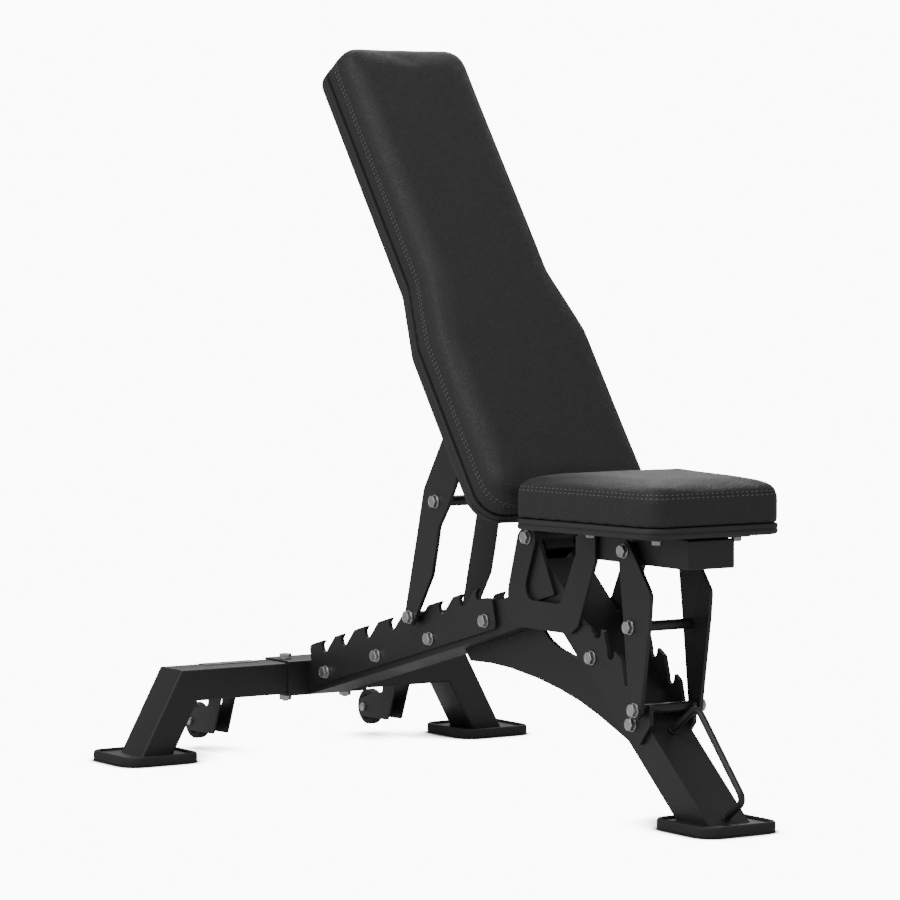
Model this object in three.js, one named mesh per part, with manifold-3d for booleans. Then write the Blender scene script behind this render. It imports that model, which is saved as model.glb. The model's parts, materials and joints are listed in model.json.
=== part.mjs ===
// Adjustable weight bench with a ladder-locked backrest and a tilting seat.
// Millimetres, +Z up, +X towards the seat end, centre plane at y = 0, floor at z = 0 once placed.
import * as THREE from 'three';
import { mergeVertices } from 'three/addons/utils/BufferGeometryUtils.js';
import Module from 'manifold-3d';

const wasm = await Module();
wasm.setup();

// ---------------------------------------------------------------- sizes
const TUBE_WIDTH = 70;            // flat of the frame tube
const TUBE_DEPTH = 50;            // short side of the same tube
const TUBE_WALL = 3;
const PLATE = 6;                  // laser-cut steel plate
const PLATE_GAP = 0.3;            // between pieces that meet at an angle
const BOLT_D = 10;                // frame bolts
const SMALL_BOLT_D = 8;           // pad bolts
const HOLE_PLAY = 0.8;            // hole diameter over bolt diameter

// rear crossbar and its splayed legs
const CROSSBAR_TOP = 140;
const CROSSBAR_HALF_TOP = 266.4;  // to the outer mitre edge
const REAR_LEG_SPLAY = 28.7;      // degrees from vertical

// rubber feet
const FOOT_SIDE = 133;
const FOOT_HEIGHT = 13;
const FOOT_FLOOR = 3;
const FOOT_RIM = 8;
const FOOT_CORNER = 26;
const TREAD = 3;                  // grip under each foot, below the z = 0 of these sizes
const SOLE_THICK = 6;             // steel plate under each leg
const SOLE_PLAY = 0.5;            // sole plate to foot rim

// spine: tube that rises from the crossbar to the front leg
const SPINE_ANGLE = 14.8;
const SPINE_BASE_Z = 77.8;        // height of its underside above the crossbar centre
const SADDLE_HALF = 73.4;
const SADDLE_WALL = 3;
const SADDLE_BOLT_Y = 56;

// rear ladder (s runs along the spine, t square to it, from the spine's underside)
const LADDER_START = 70;
const LADDER_END = 602;
const LADDER_LOW = 9.4;
const LADDER_CORNER = 8;
const LADDER_REACH = 34.3;        // mouth of a notch along the ladder
const ROD_ABOVE_SPINE = 6;        // locked rod to the top of the spine
const TOOTH_ABOVE_ROD = 3;        // top of the teeth over the locked rod
const REAR_NOTCHES = [115.6, 175.6, 247.5, 320.7, 393.5, 464.8, 523.6, 568.6];
const REAR_LOCKED = 4;            // notch that holds the strut
const LADDER_BOLT_S = 109;
const LADDER_BOLT_PITCH = 155.5;
const LADDER_BOLTS = 4;
const ROD_D = 16;
const ROD_PLAY = 0.4;             // rod to notch, all round

// front leg
const LEG_ANGLE = 40.76;          // from the floor
const LEG_TOE_X = 1095.7;         // front face of the leg, LEG_TOE_Z above the floor
const LEG_TOE_Z = 10;
const LEG_TOP_Z = 352;            // top edge of its front face

// hinge and seat pivots
const HINGE_X = 669;
const HINGE_Z = 382;
const HINGE_BOSS = 19.5;          // clears the corner of the backrest board as it tilts
const SEAT_PIVOT_X = 815;
const SEAT_PIVOT_Z = 395;

// backrest (s along the backrest from the hinge, n square to it, towards the sitter)
const BACK_ANGLE = 54.4;          // from the floor
const BACK_BOTTOM = 17;
const BACK_TOP = 836;
const BACK_HALF_LOW = 140;
const BACK_HALF_HIGH = 115.5;
const BACK_WAIST_LOW = 305;       // where the narrowing starts
const BACK_WAIST_HIGH = 415;      // where it ends
const BACK_LOW_CORNER = 42;
const BACK_HIGH_CORNER = 34;
const BACK_BOARD_N = 11.5;        // rear face of the board
const BACK_BOARD = 22;
const BACK_PAD = 62;
const BACK_TUBE_WIDTH = 50;
const BACK_TUBE_DEPTH = 40;
const BACK_TUBE_START = -25;
const BACK_TUBE_END = 690;
const BACK_STRIP = 4;
const BACK_STRIPS = [120, 620];   // cross strips that carry the board
const BACK_BOLT_Y = 78;

// back strut
const BACK_STRUT_S = 247;         // its pivot on the backrest tube
const STRUT_GAP = 49;             // inner face of the strut plates
const BUSH_D = 24;
const BUSH_PLAY = 0.3;            // end float of each bush

// seat
const PAD_SHOULDER = 18;          // rounding of both pads' top edges
const SEAT_BOARD_Z = 406;
const SEAT_BOARD = 16;
const SEAT_PAD = 66;
const SEAT_REAR_X = 788;
const SEAT_FRONT_X = 1071;
const SEAT_HALF_REAR = 152;
const SEAT_HALF_FRONT = 114;
const SEAT_FRONT_CORNER = 30;
const SEAT_REAR_CORNER = 8;
const SEAT_STRIP = 4;
const SEAT_STRIPS_X = [861, 1019];
const SEAT_BOLT_Y = 69;
const SEAT_TUBE_WIDTH = 80;
const SEAT_TUBE_DEPTH = 41;
const SEAT_TUBE_REAR = 790;
const SEAT_TUBE_FRONT = 1052.6;
const SEAT_CAP = 4;
const SEAT_PIN_D = 10;            // black pin the seat turns on, flush with the uprights
const SEAT_BUSH_D = 15.6;         // just inside the upper wall of the seat tube

// seat strut and the short front ladder
const SEAT_STRUT_X = 922;
const SEAT_STRUT_Z = 380;
const FRONT_NOTCHES = [[838, 255], [870, 227.5], [911, 193], [948, 157]];
const FRONT_LOCKED = 3;
const SEAT_ROD_D = 15;

// wheels
const WHEEL_R = 29;
const WHEEL_W = 19;
const AXLE_X = -93;
const AXLE_Z = 42;
const AXLE_D = 8;
const BRACKET_Y = 164.5;          // middle of each wheel bracket
const BRACKET_W = 28.5;
const BRACKET_WALL = 3;

// carry handle
const HANDLE_D = 10;

// ---------------------------------------------------------------- derived places
const CROSSBAR_BOTTOM = CROSSBAR_TOP - TUBE_DEPTH;
const SIDE = TUBE_WIDTH / 2;      // side face of spine and front leg
const LAYER_1 = SIDE + PLATE;     // outer face of ladders and gussets
const LAYER_2 = LAYER_1 + PLATE;  // outer face of the upright plates
const NOTCH_T = TUBE_DEPTH + ROD_ABOVE_SPINE + ROD_D / 2;
const LADDER_TOP = NOTCH_T + ROD_D / 2 + TOOTH_ABOVE_ROD;
const BACK_TUBE_N = BACK_BOARD_N - BACK_STRIP;
const BACK_STRUT_N = BACK_TUBE_N - BACK_TUBE_DEPTH / 2;
const SEAT_TUBE_TOP = SEAT_BOARD_Z - SEAT_STRIP;
const SEAT_TUBE_BOTTOM = SEAT_TUBE_TOP - SEAT_TUBE_DEPTH;

const rad = THREE.MathUtils.degToRad;

// point on the spine: s along it, t square to it above its underside
function spinePoint(s, t) {
  const a = rad(SPINE_ANGLE);
  return [s * Math.cos(a) - t * Math.sin(a), SPINE_BASE_Z + s * Math.sin(a) + t * Math.cos(a)];
}

// point on the front leg: u up along its front face from the toe, d below that face
function legPoint(u, d) {
  const a = rad(LEG_ANGLE);
  return [
    LEG_TOE_X - u * Math.cos(a) - d * Math.sin(a),
    LEG_TOE_Z + u * Math.sin(a) - d * Math.cos(a),
  ];
}

// point on the backrest: s up along it from the hinge, n towards the sitter
function backPoint(s, n) {
  const a = rad(BACK_ANGLE);
  return [
    HINGE_X - s * Math.cos(a) + n * Math.sin(a),
    HINGE_Z + s * Math.sin(a) + n * Math.cos(a),
  ];
}

// crossing point of the lines p-q and r-w
function crossing(p, q, r, w) {
  const d1 = [q[0] - p[0], q[1] - p[1]];
  const d2 = [w[0] - r[0], w[1] - r[1]];
  const k = ((r[0] - p[0]) * d2[1] - (r[1] - p[1]) * d2[0]) / (d1[0] * d2[1] - d1[1] * d2[0]);
  return [p[0] + k * d1[0], p[1] + k * d1[1]];
}

// ---------------------------------------------------------------- solids
function toManifold(geometry) {
  let g = geometry.index ? geometry.toNonIndexed() : geometry.clone();
  for (const name of Object.keys(g.attributes)) {
    if (name !== 'position') g.deleteAttribute(name);
  }
  g = mergeVertices(g, 1e-4);
  const mesh = new wasm.Mesh({
    numProp: 3,
    vertProperties: new Float32Array(g.attributes.position.array),
    triVerts: new Uint32Array(g.index.array),
  });
  return new wasm.Manifold(mesh);
}

function toGeometry(solid) {
  const mesh = solid.getMesh();
  const g = new THREE.BufferGeometry();
  const count = mesh.vertProperties.length / mesh.numProp;
  const position = new Float32Array(count * 3);
  for (let i = 0; i < count; i += 1) {
    for (let k = 0; k < 3; k += 1) position[3 * i + k] = mesh.vertProperties[mesh.numProp * i + k];
  }
  g.setAttribute('position', new THREE.BufferAttribute(position, 3));
  g.setIndex(new THREE.BufferAttribute(new Uint32Array(mesh.triVerts), 1));
  g.computeVertexNormals();
  return g;
}

const join = (...geometries) => toGeometry(geometries.map(toManifold).reduce((a, b) => a.add(b)));
const cut = (geometry, ...tools) => toGeometry(
  tools.map(toManifold).reduce((a, b) => a.subtract(b), toManifold(geometry)),
);

// polygon with each corner rounded: points are [x, y] or [x, y, radius]
function rounded(points, radius = 0, steps = 2) {
  const out = [];
  const n = points.length;
  for (let i = 0; i < n; i += 1) {
    const p = new THREE.Vector2(points[i][0], points[i][1]);
    const r = points[i][2] ?? radius;
    const a = new THREE.Vector2(...points[(i + n - 1) % n].slice(0, 2)).sub(p);
    const b = new THREE.Vector2(...points[(i + 1) % n].slice(0, 2)).sub(p);
    const half = Math.acos(THREE.MathUtils.clamp(a.dot(b) / (a.length() * b.length()), -1, 1)) / 2;
    if (r <= 0 || half > rad(89)) {
      out.push(p);
      continue;
    }
    const reach = Math.min(r / Math.tan(half), 0.49 * a.length(), 0.49 * b.length());
    const radiusUsed = reach * Math.tan(half);
    const centre = a.clone().normalize().add(b.clone().normalize()).normalize()
      .multiplyScalar(radiusUsed / Math.sin(half)).add(p);
    const start = a.clone().setLength(reach).add(p).sub(centre);
    const end = b.clone().setLength(reach).add(p).sub(centre);
    const turn = Math.atan2(start.cross(end), start.dot(end));
    for (let k = 0; k <= steps; k += 1) {
      out.push(start.clone().rotateAround(new THREE.Vector2(), (turn * k) / steps).add(centre));
    }
  }
  return out;
}

// arc as polygon points, from angle a0 to a1 in degrees
function arc(cx, cy, r, a0, a1, steps) {
  const out = [];
  for (let k = 0; k <= steps; k += 1) {
    const a = rad(a0 + ((a1 - a0) * k) / steps);
    out.push([cx + r * Math.cos(a), cy + r * Math.sin(a)]);
  }
  return out;
}

function shapeOf(points, holes = []) {
  const vectors = points.map((p) => (p.isVector2 ? p : new THREE.Vector2(p[0], p[1])));
  const shape = new THREE.Shape(vectors);
  for (const [x, y, r] of holes) {
    const hole = new THREE.Path();
    hole.absarc(x, y, r, 0, Math.PI * 2, true);
    shape.holes.push(hole);
  }
  return shape;
}

function extrude(points, depth, holes = []) {
  return new THREE.ExtrudeGeometry(
    shapeOf(points, holes),
    { depth, bevelEnabled: false, curveSegments: 6 },
  );
}

// plate with its outline in x-z, from y0 to y1
function plateXZ(points, y0, y1, holes) {
  const g = extrude(points, y1 - y0, holes);
  g.rotateX(Math.PI / 2);
  g.translate(0, y1, 0);
  return g;
}

// plate with its outline in y-z, from x0 to x1
function plateYZ(points, x0, x1, holes) {
  const g = extrude(points, x1 - x0, holes);
  g.rotateX(Math.PI / 2);
  g.rotateZ(Math.PI / 2);
  g.translate(x0, 0, 0);
  return g;
}

// plate with its outline in x-y, from z0 to z1
function plateXY(points, z0, z1, holes) {
  const g = extrude(points, z1 - z0, holes);
  g.translate(0, 0, z0);
  return g;
}

function box(x0, x1, y0, y1, z0, z1) {
  const g = new THREE.BoxGeometry(x1 - x0, y1 - y0, z1 - z0);
  g.translate((x0 + x1) / 2, (y0 + y1) / 2, (z0 + z1) / 2);
  return g;
}

// round bar along y
function barY(x, z, r, y0, y1, segments = 16) {
  const g = new THREE.CylinderGeometry(r, r, y1 - y0, segments);
  g.translate(x, (y0 + y1) / 2, z);
  return g;
}

// round bar along z
function barZ(x, y, r, z0, z1, segments = 16) {
  const g = new THREE.CylinderGeometry(r, r, z1 - z0, segments);
  g.rotateX(Math.PI / 2);
  g.translate(x, y, (z0 + z1) / 2);
  return g;
}

// head and nut sizes for each bolt diameter
const HEXAGONS = {
  [BOLT_D]: { flats: 17, headHeight: 6.4, nutHeight: 8, washerR: 10.5, washer: 2 },
  [SMALL_BOLT_D]: { flats: 13, headHeight: 5.3, nutHeight: 6.5, washerR: 8, washer: 1.6 },
};
const THREAD_END = 2;             // thread showing past the nut
const WASHER_SIDES = 12;
const SHANK_SIDES = 8;

// hexagon bolt, washers and nut in one; axis +Z, bearing faces at z = 0 and z = grip
function boltGeometry(d, grip, nut = true) {
  const { flats, headHeight, nutHeight, washerR, washer } = HEXAGONS[d];
  const hexR = flats / Math.sqrt(3);
  const prism = (r, z0, z1, segments) => {
    const g = new THREE.CylinderGeometry(r, r, z1 - z0, segments);
    g.rotateX(Math.PI / 2);
    g.translate(0, 0, (z0 + z1) / 2);
    return g;
  };
  const bodies = [
    prism(hexR, -washer - headHeight, -washer, 6),
    prism(washerR, -washer, 0, WASHER_SIDES),
  ];
  if (nut) {
    bodies.push(prism(d / 2, -washer - headHeight / 2, grip + washer + nutHeight + THREAD_END, SHANK_SIDES));
    bodies.push(prism(washerR, grip, grip + washer, WASHER_SIDES));
    bodies.push(prism(hexR, grip + washer, grip + washer + nutHeight, 6));
  } else {
    bodies.push(prism(d / 2, -washer - headHeight / 2, grip, SHANK_SIDES));
  }
  return join(...bodies);
}

// bolt across the bench, head on the -y side
function boltY(x, z, y0, y1, d = BOLT_D) {
  const g = boltGeometry(d, y1 - y0);
  g.rotateX(-Math.PI / 2);
  g.translate(x, y0, z);
  return g;
}

// both sides of the bench: y ranges for the right (-y) and left (+y) copies
const sides = [
  { name: 'right', sign: -1 },
  { name: 'left', sign: 1 },
];
const span = (sign, y0, y1) => (sign < 0 ? [-y1, -y0] : [y0, y1]);

// ---------------------------------------------------------------- materials
const finishes = {
  coat: { color: 0x1b1b1c, roughness: 0.55, metalness: 0.25 },
  zinc: { color: 0xb9bbbd, roughness: 0.32, metalness: 0.95 },
  rod: { color: 0x3a3a3b, roughness: 0.35, metalness: 0.8 },
  rubber: { color: 0x161616, roughness: 0.85, metalness: 0 },
  vinyl: { color: 0x1d1d1e, roughness: 0.6, metalness: 0 },
  plastic: { color: 0x202021, roughness: 0.5, metalness: 0 },
};
const material = (finish) => new THREE.MeshStandardMaterial(finishes[finish]);

const bench = new THREE.Group();
bench.name = 'bench';

function add(name, geometry, finish) {
  const mesh = new THREE.Mesh(geometry, material(finish));
  mesh.name = name;
  bench.add(mesh);
}

const holeR = (d) => (d + HOLE_PLAY) / 2;

// ---------------------------------------------------------------- rear end
const splay = rad(REAR_LEG_SPLAY);
const mitreShift = TUBE_DEPTH * Math.tan((Math.PI / 2 - splay) / 2);
const legWidthAcross = TUBE_DEPTH / Math.cos(splay);
const outerAt = (z) => CROSSBAR_HALF_TOP + (CROSSBAR_TOP - z) * Math.tan(splay);
const innerAt = (z) => outerAt(z) - legWidthAcross;
const REAR_FOOT_Y = (outerAt(FOOT_FLOOR) + innerAt(FOOT_FLOOR)) / 2;

function crossbar() {
  const top = CROSSBAR_HALF_TOP - PLATE_GAP;
  const low = top - mitreShift;
  const outer = [[-top, CROSSBAR_TOP], [-low, CROSSBAR_BOTTOM], [low, CROSSBAR_BOTTOM], [top, CROSSBAR_TOP]];
  const bore = box(
    -TUBE_WIDTH / 2 + TUBE_WALL,
    TUBE_WIDTH / 2 - TUBE_WALL,
    -top - 10,
    top + 10,
    CROSSBAR_BOTTOM + TUBE_WALL,
    CROSSBAR_TOP - TUBE_WALL,
  );
  const holes = [-1, 1].map((sign) => barZ(
    0,
    sign * SADDLE_BOLT_Y,
    holeR(BOLT_D),
    CROSSBAR_BOTTOM - 5,
    CROSSBAR_TOP + 5,
  ));
  add('crossbar', cut(plateYZ(outer, -TUBE_WIDTH / 2, TUBE_WIDTH / 2), bore, ...holes), 'coat');
}

function rearLegs() {
  const soleTop = FOOT_FLOOR + SOLE_THICK;
  const top = [CROSSBAR_HALF_TOP, CROSSBAR_TOP];
  const low = [CROSSBAR_HALF_TOP - mitreShift, CROSSBAR_BOTTOM];
  const foot = soleTop - SOLE_THICK / 2;
  const outer = [low, top, [outerAt(foot), foot], [innerAt(foot), foot]];
  const dropIn = TUBE_WALL / Math.cos(splay);
  const over = 30;
  const inner = [
    [innerAt(CROSSBAR_TOP + over) + dropIn, CROSSBAR_TOP + over],
    [outerAt(CROSSBAR_TOP + over) - dropIn, CROSSBAR_TOP + over],
    [outerAt(soleTop) - dropIn, soleTop],
    [innerAt(soleTop) + dropIn, soleTop],
  ];
  for (const { name, sign } of sides) {
    const flip = (points) => points.map(([y, z]) => [sign * y, z]);
    const order = (points) => (sign < 0 ? flip(points) : flip(points).reverse());
    const tube = cut(
      plateYZ(order(outer), -TUBE_WIDTH / 2, TUBE_WIDTH / 2),
      plateYZ(order(inner), -TUBE_WIDTH / 2 + TUBE_WALL, TUBE_WIDTH / 2 - TUBE_WALL),
    );
    add(`rear_leg_${name}`, join(tube, solePlate(0, sign * REAR_FOOT_Y)), 'coat');
    add(`rear_foot_${name}`, footPad(0, sign * REAR_FOOT_Y), 'rubber');
  }
}

function rectangle(cx, cy, lx, ly) {
  return [
    [cx - lx / 2, cy - ly / 2],
    [cx + lx / 2, cy - ly / 2],
    [cx + lx / 2, cy + ly / 2],
    [cx - lx / 2, cy + ly / 2],
  ];
}

// square with rounded corners, its edge a given distance inside the edge of a foot
function footSquare(cx, cy, inside) {
  const side = FOOT_SIDE - 2 * inside;
  return rounded(rectangle(cx, cy, side, side), FOOT_CORNER - inside, 3);
}

function solePlate(cx, cy) {
  return plateXY(footSquare(cx, cy, FOOT_RIM + SOLE_PLAY), FOOT_FLOOR, FOOT_FLOOR + SOLE_THICK);
}

function footPad(cx, cy) {
  const pad = plateXY(footSquare(cx, cy, 0), -TREAD, FOOT_HEIGHT);
  return cut(pad, plateXY(footSquare(cx, cy, FOOT_RIM), FOOT_FLOOR, FOOT_HEIGHT + 5));
}

function saddle() {
  const x0 = -TUBE_WIDTH / 2;
  const x1 = TUBE_WIDTH / 2;
  const w = SADDLE_WALL;
  const outline = [
    [x0, CROSSBAR_TOP],
    [x1, CROSSBAR_TOP],
    [x1, CROSSBAR_BOTTOM],
    [x0, CROSSBAR_BOTTOM],
    [x0, CROSSBAR_BOTTOM - w],
    [x1 + w, CROSSBAR_BOTTOM - w, 3],
    [x1 + w, CROSSBAR_TOP + w, 3],
    [x0, CROSSBAR_TOP + w],
  ];
  const holes = [-1, 1].map((sign) => barZ(
    0,
    sign * SADDLE_BOLT_Y,
    holeR(BOLT_D),
    CROSSBAR_BOTTOM - 10,
    CROSSBAR_TOP + 10,
  ));
  add('saddle', cut(plateXZ(rounded(outline), -SADDLE_HALF, SADDLE_HALF), ...holes), 'coat');
  for (const { name, sign } of sides) {
    const g = boltGeometry(BOLT_D, TUBE_DEPTH + 2 * w);
    g.rotateX(Math.PI);
    g.translate(0, sign * SADDLE_BOLT_Y, CROSSBAR_TOP + w);
    add(`saddle_bolt_${name}`, g, 'zinc');
  }
}

function wheels() {
  const half = BRACKET_W / 2;
  const top = CROSSBAR_BOTTOM;
  const cheek = rounded([
    [-33, top],
    [-36, 72.4, 4],
    [-76, 64.5, 10],
    ...arc(AXLE_X, AXLE_Z, 16, 130, 262, 8),
    [-20, 27.8, 5],
    [5, top],
  ]);
  for (const { name, sign } of sides) {
    const y = sign * BRACKET_Y;
    const outer = plateXZ(cheek, y - half, y + half, [[AXLE_X, AXLE_Z, holeR(AXLE_D)]]);
    const room = box(-150, 60, y - half + BRACKET_WALL, y + half - BRACKET_WALL, 0, top - BRACKET_WALL);
    add(`wheel_bracket_${name}`, cut(outer, room), 'coat');
    add(`wheel_${name}`, wheelGeometry(y), 'rubber');
    add(`wheel_axle_${name}`, axleGeometry(y), 'zinc');
  }
}

function wheelGeometry(y) {
  const r = WHEEL_R;
  const h = WHEEL_W / 2;
  const bore = holeR(AXLE_D);
  const hub = 11;
  const rim = 20;
  const dish = 2.5;
  const tread = 4;
  const profile = [
    [bore, -h], [hub, -h], [hub + 1, -h + dish], [rim, -h + dish], [rim + 1, -h + 1], [r - 2, -h + 1],
    [r, -h + tread], [r, h - tread], [r - 2, h - 1], [rim + 1, h - 1], [rim, h - dish], [hub + 1, h - dish],
    [hub, h], [bore, h], [bore, -h],
  ].map(([x, z]) => new THREE.Vector2(x, z));
  const g = new THREE.LatheGeometry(profile, 20);
  g.translate(AXLE_X, y, AXLE_Z);
  return toGeometry(toManifold(g));
}

function axleGeometry(y) {
  const half = BRACKET_W / 2;
  return join(
    barY(AXLE_X, AXLE_Z, AXLE_D / 2, y - half - 4, y + half + 4, 12),
    barY(AXLE_X, AXLE_Z, 7.5, y - half - 5, y - half, 6),
    barY(AXLE_X, AXLE_Z, 7.5, y + half, y + half + 5, 6),
  );
}

// ---------------------------------------------------------------- spine
function spine() {
  const rear = TUBE_WIDTH / 2 + SADDLE_WALL;
  const leg0 = legPoint(0, TUBE_DEPTH + PLATE_GAP);
  const leg1 = legPoint(300, TUBE_DEPTH + PLATE_GAP);
  const line = (t) => [spinePoint(0, t), spinePoint(600, t)];
  const atRear = (t) => crossing(...line(t), [rear, 0], [rear, 100]);
  const atLeg = (t) => crossing(...line(t), leg0, leg1);
  const outer = [atRear(0), atLeg(0), atLeg(TUBE_DEPTH), atRear(TUBE_DEPTH)];
  const low = TUBE_WALL;
  const high = TUBE_DEPTH - TUBE_WALL;
  const inner = [spinePoint(-50, low), spinePoint(900, low), spinePoint(900, high), spinePoint(-50, high)];
  const holes = ladderBoltPlaces().map(([x, z]) => barY(x, z, holeR(BOLT_D), -60, 60));
  add('spine', cut(
    plateXZ(outer, -SIDE, SIDE),
    plateXZ(inner, -SIDE + TUBE_WALL, SIDE - TUBE_WALL),
    ...holes,
  ), 'coat');
}

function ladderBoltPlaces() {
  const out = [];
  for (let i = 0; i < LADDER_BOLTS; i += 1) {
    out.push(spinePoint(LADDER_BOLT_S + i * LADDER_BOLT_PITCH, TUBE_DEPTH / 2));
  }
  return out;
}

// outline of the rear ladder in (s, t): hooked teeth lean over each notch
function rearLadderOutline() {
  const r = ROD_D / 2 + ROD_PLAY;
  const points = [[LADDER_START, LADDER_LOW, LADDER_CORNER], [LADDER_START, LADDER_TOP, LADDER_CORNER]];
  REAR_NOTCHES.forEach((s, i) => {
    const last = i === REAR_NOTCHES.length - 1;
    points.push([s, LADDER_TOP], [s - r, LADDER_TOP - 6]);
    points.push(...arc(s, NOTCH_T, r, 180, 300, 5));
    if (last) points.push([s + 14, NOTCH_T - 5.5, 3], [LADDER_END, NOTCH_T - 10, 5]);
    else points.push([s + LADDER_REACH, LADDER_TOP]);
  });
  points.push([LADDER_END, LADDER_LOW, LADDER_CORNER]);
  return points.reverse().map(([s, t, corner]) => [...spinePoint(s, t), corner ?? 0]);
}

function rearLadders() {
  const outline = rounded(rearLadderOutline());
  const holes = ladderBoltPlaces().map(([x, z]) => [x, z, holeR(BOLT_D)]);
  for (const { name, sign } of sides) {
    add(`rear_ladder_${name}`, plateXZ(outline, ...span(sign, SIDE, LAYER_1), holes), 'coat');
  }
  ladderBoltPlaces().forEach(([x, z], i) => {
    add(`rear_ladder_bolt_${i + 1}`, boltY(x, z, -LAYER_1, LAYER_1), 'zinc');
  });
}

// ---------------------------------------------------------------- front leg
const LEG_TOP_U = (LEG_TOP_Z - LEG_TOE_Z) / Math.sin(rad(LEG_ANGLE));
const frontLegBoltPlaces = () => [legPoint(342, 19), legPoint(211, 19)];
const legFaceX = (z, d) => {
  const a = rad(LEG_ANGLE);
  return LEG_TOE_X - ((z - LEG_TOE_Z) / Math.tan(a)) - d / Math.sin(a);
};
const FRONT_FOOT_X = (legFaceX(FOOT_FLOOR, 0) + legFaceX(FOOT_FLOOR, TUBE_DEPTH)) / 2;

// half way along the bench, from the rear of the wheels to the front of the front foot
const FRAME_CENTRE_X = (AXLE_X - WHEEL_R + FRONT_FOOT_X + FOOT_SIDE / 2) / 2;

function frontLeg() {
  const soleTop = FOOT_FLOOR + SOLE_THICK;
  const foot = soleTop - SOLE_THICK / 2;
  const outer = [
    [legFaceX(foot, 0), foot],
    legPoint(LEG_TOP_U, 0),
    legPoint(LEG_TOP_U, TUBE_DEPTH),
    [legFaceX(foot, TUBE_DEPTH), foot],
  ].reverse();
  const low = TUBE_WALL;
  const high = TUBE_DEPTH - TUBE_WALL;
  const inner = [
    [legFaceX(soleTop, low), soleTop],
    legPoint(LEG_TOP_U + 50, low),
    legPoint(LEG_TOP_U + 50, high),
    [legFaceX(soleTop, high), soleTop],
  ].reverse();
  const holes = frontLegBoltPlaces().map(([x, z]) => barY(x, z, holeR(BOLT_D), -60, 60));
  const tube = cut(
    plateXZ(outer, -SIDE, SIDE),
    plateXZ(inner, -SIDE + TUBE_WALL, SIDE - TUBE_WALL),
    ...holes,
  );
  add('front_leg', join(tube, solePlate(FRONT_FOOT_X, 0)), 'coat');
  add('front_foot', footPad(FRONT_FOOT_X, 0), 'rubber');
}

function frontLadders() {
  const r = SEAT_ROD_D / 2 + ROD_PLAY;
  const [n1, n2, n3, n4] = FRONT_NOTCHES;
  const bowl = ([x, z], a0, a1) => arc(x, z, r, a0, a1, 6);
  const outline = rounded([
    [748, 256, 4],
    [775, 284, 10],
    [806.9, 266.4, 4],
    [821.1, 258.6, 3],
    ...bowl(n1, 200, 345),
    [n1[0] + 9, n1[1] + 6],
    [n1[0] + 16, n1[1] + 3.5, 2],
    [n2[0] - r, n2[1] + 4],
    ...bowl(n2, 180, 345),
    [n2[0] + 9, n2[1] + 6],
    [n3[0] - 16, n3[1] + 31, 3],
    [n3[0] - r, n3[1] + 4],
    ...bowl(n3, 180, 345),
    [n3[0] + 10, n3[1] + 7],
    [n4[0] - 15.5, n4[1] + 35, 3],
    [n4[0] - r, n4[1] + 5],
    ...bowl(n4, 180, 345),
    [n4[0] + 11, n4[1] + 6],
    [965.5, 164.5, 2],
    [965.5, 135.3, 4],
    [939.4, 103.7, 5],
  ].reverse());
  const holes = frontLegBoltPlaces().map(([x, z]) => [x, z, holeR(BOLT_D)]);
  for (const { name, sign } of sides) {
    add(`front_ladder_${name}`, plateXZ(outline, ...span(sign, SIDE, LAYER_1), holes), 'coat');
  }
  frontLegBoltPlaces().forEach(([x, z], i) => {
    add(`front_ladder_bolt_${i + 1}`, boltY(x, z, -LAYER_1, LAYER_1), 'zinc');
  });
}

// ---------------------------------------------------------------- upright plates and gussets
function uprights() {
  const h = [HINGE_X, HINGE_Z];
  const p = [SEAT_PIVOT_X, SEAT_PIVOT_Z];
  const outline = rounded([
    [h[0] - 50, 262, 6],
    [h[0] - 50, 303, 30],
    [h[0] - 24.5, h[1] + 3, 8],
    ...arc(h[0], h[1], HINGE_BOSS, 125, 0, 8),
    [h[0] + HINGE_BOSS, h[1] - 8, 6],
    [h[0] - 6, 310, 22],
    [h[0] + 4, 290.5, 16],
    [754, 290.5, 14],
    [p[0] - 26.5, 360, 4],
    [p[0] - 23, 364, 3],
    [p[0] - 23, p[1] - 4, 3],
    [p[0] - 2, p[1] + 7, 3],
    [p[0] + 25, p[1] + 7, 8],
    [p[0] + 25, 361, 14],
    [798, 262, 12],
    [778, 249, 14],
    [h[0] - 28, 249, 8],
  ].reverse());
  const holes = [[...h, holeR(BOLT_D)], [...p, SEAT_PIN_D / 2 + PLATE_GAP]];
  for (const { name, sign } of sides) {
    add(`upright_${name}`, plateXZ(outline, ...span(sign, LAYER_1, LAYER_2), holes), 'coat');
  }
}

function gussets() {
  const outline = rounded([
    [HINGE_X - 31, 278, 4],
    ...arc(HINGE_X, HINGE_Z, 17, 170, 28, 7),
    [730, 302, 2],
  ].reverse());
  for (const { name, sign } of sides) {
    const plate = plateXZ(outline, ...span(sign, SIDE, LAYER_1), [[HINGE_X, HINGE_Z, holeR(BOLT_D)]]);
    add(`hinge_gusset_${name}`, plate, 'coat');
  }
}

function archBrace() {
  const low = [
    [912, 82], [867, 98.4], [831, 113], [787, 130.2], [742.4, 145.1],
    [690.6, 158], [632.6, 168.8], [562, 177.2], [512, 179.6], [454, 178.2],
  ];
  const high = [
    [665.3, 228.4], [690.4, 217.9], [716.4, 211.8], [739, 207.5], [775, 200],
  ];
  const underSpine = (x) => {
    const a = rad(SPINE_ANGLE);
    return [x, SPINE_BASE_Z + x * Math.tan(a) - PLATE_GAP / Math.cos(a)];
  };
  const behindLeg = (z) => [legFaceX(z, TUBE_DEPTH + PLATE_GAP), z];
  const outline = [
    underSpine(440),
    underSpine(640),
    ...high,
    behindLeg(188),
    behindLeg(64),
    ...low,
  ].reverse();
  add('arch_brace', plateXZ(outline, -PLATE / 2, PLATE / 2), 'coat');
}

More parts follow.
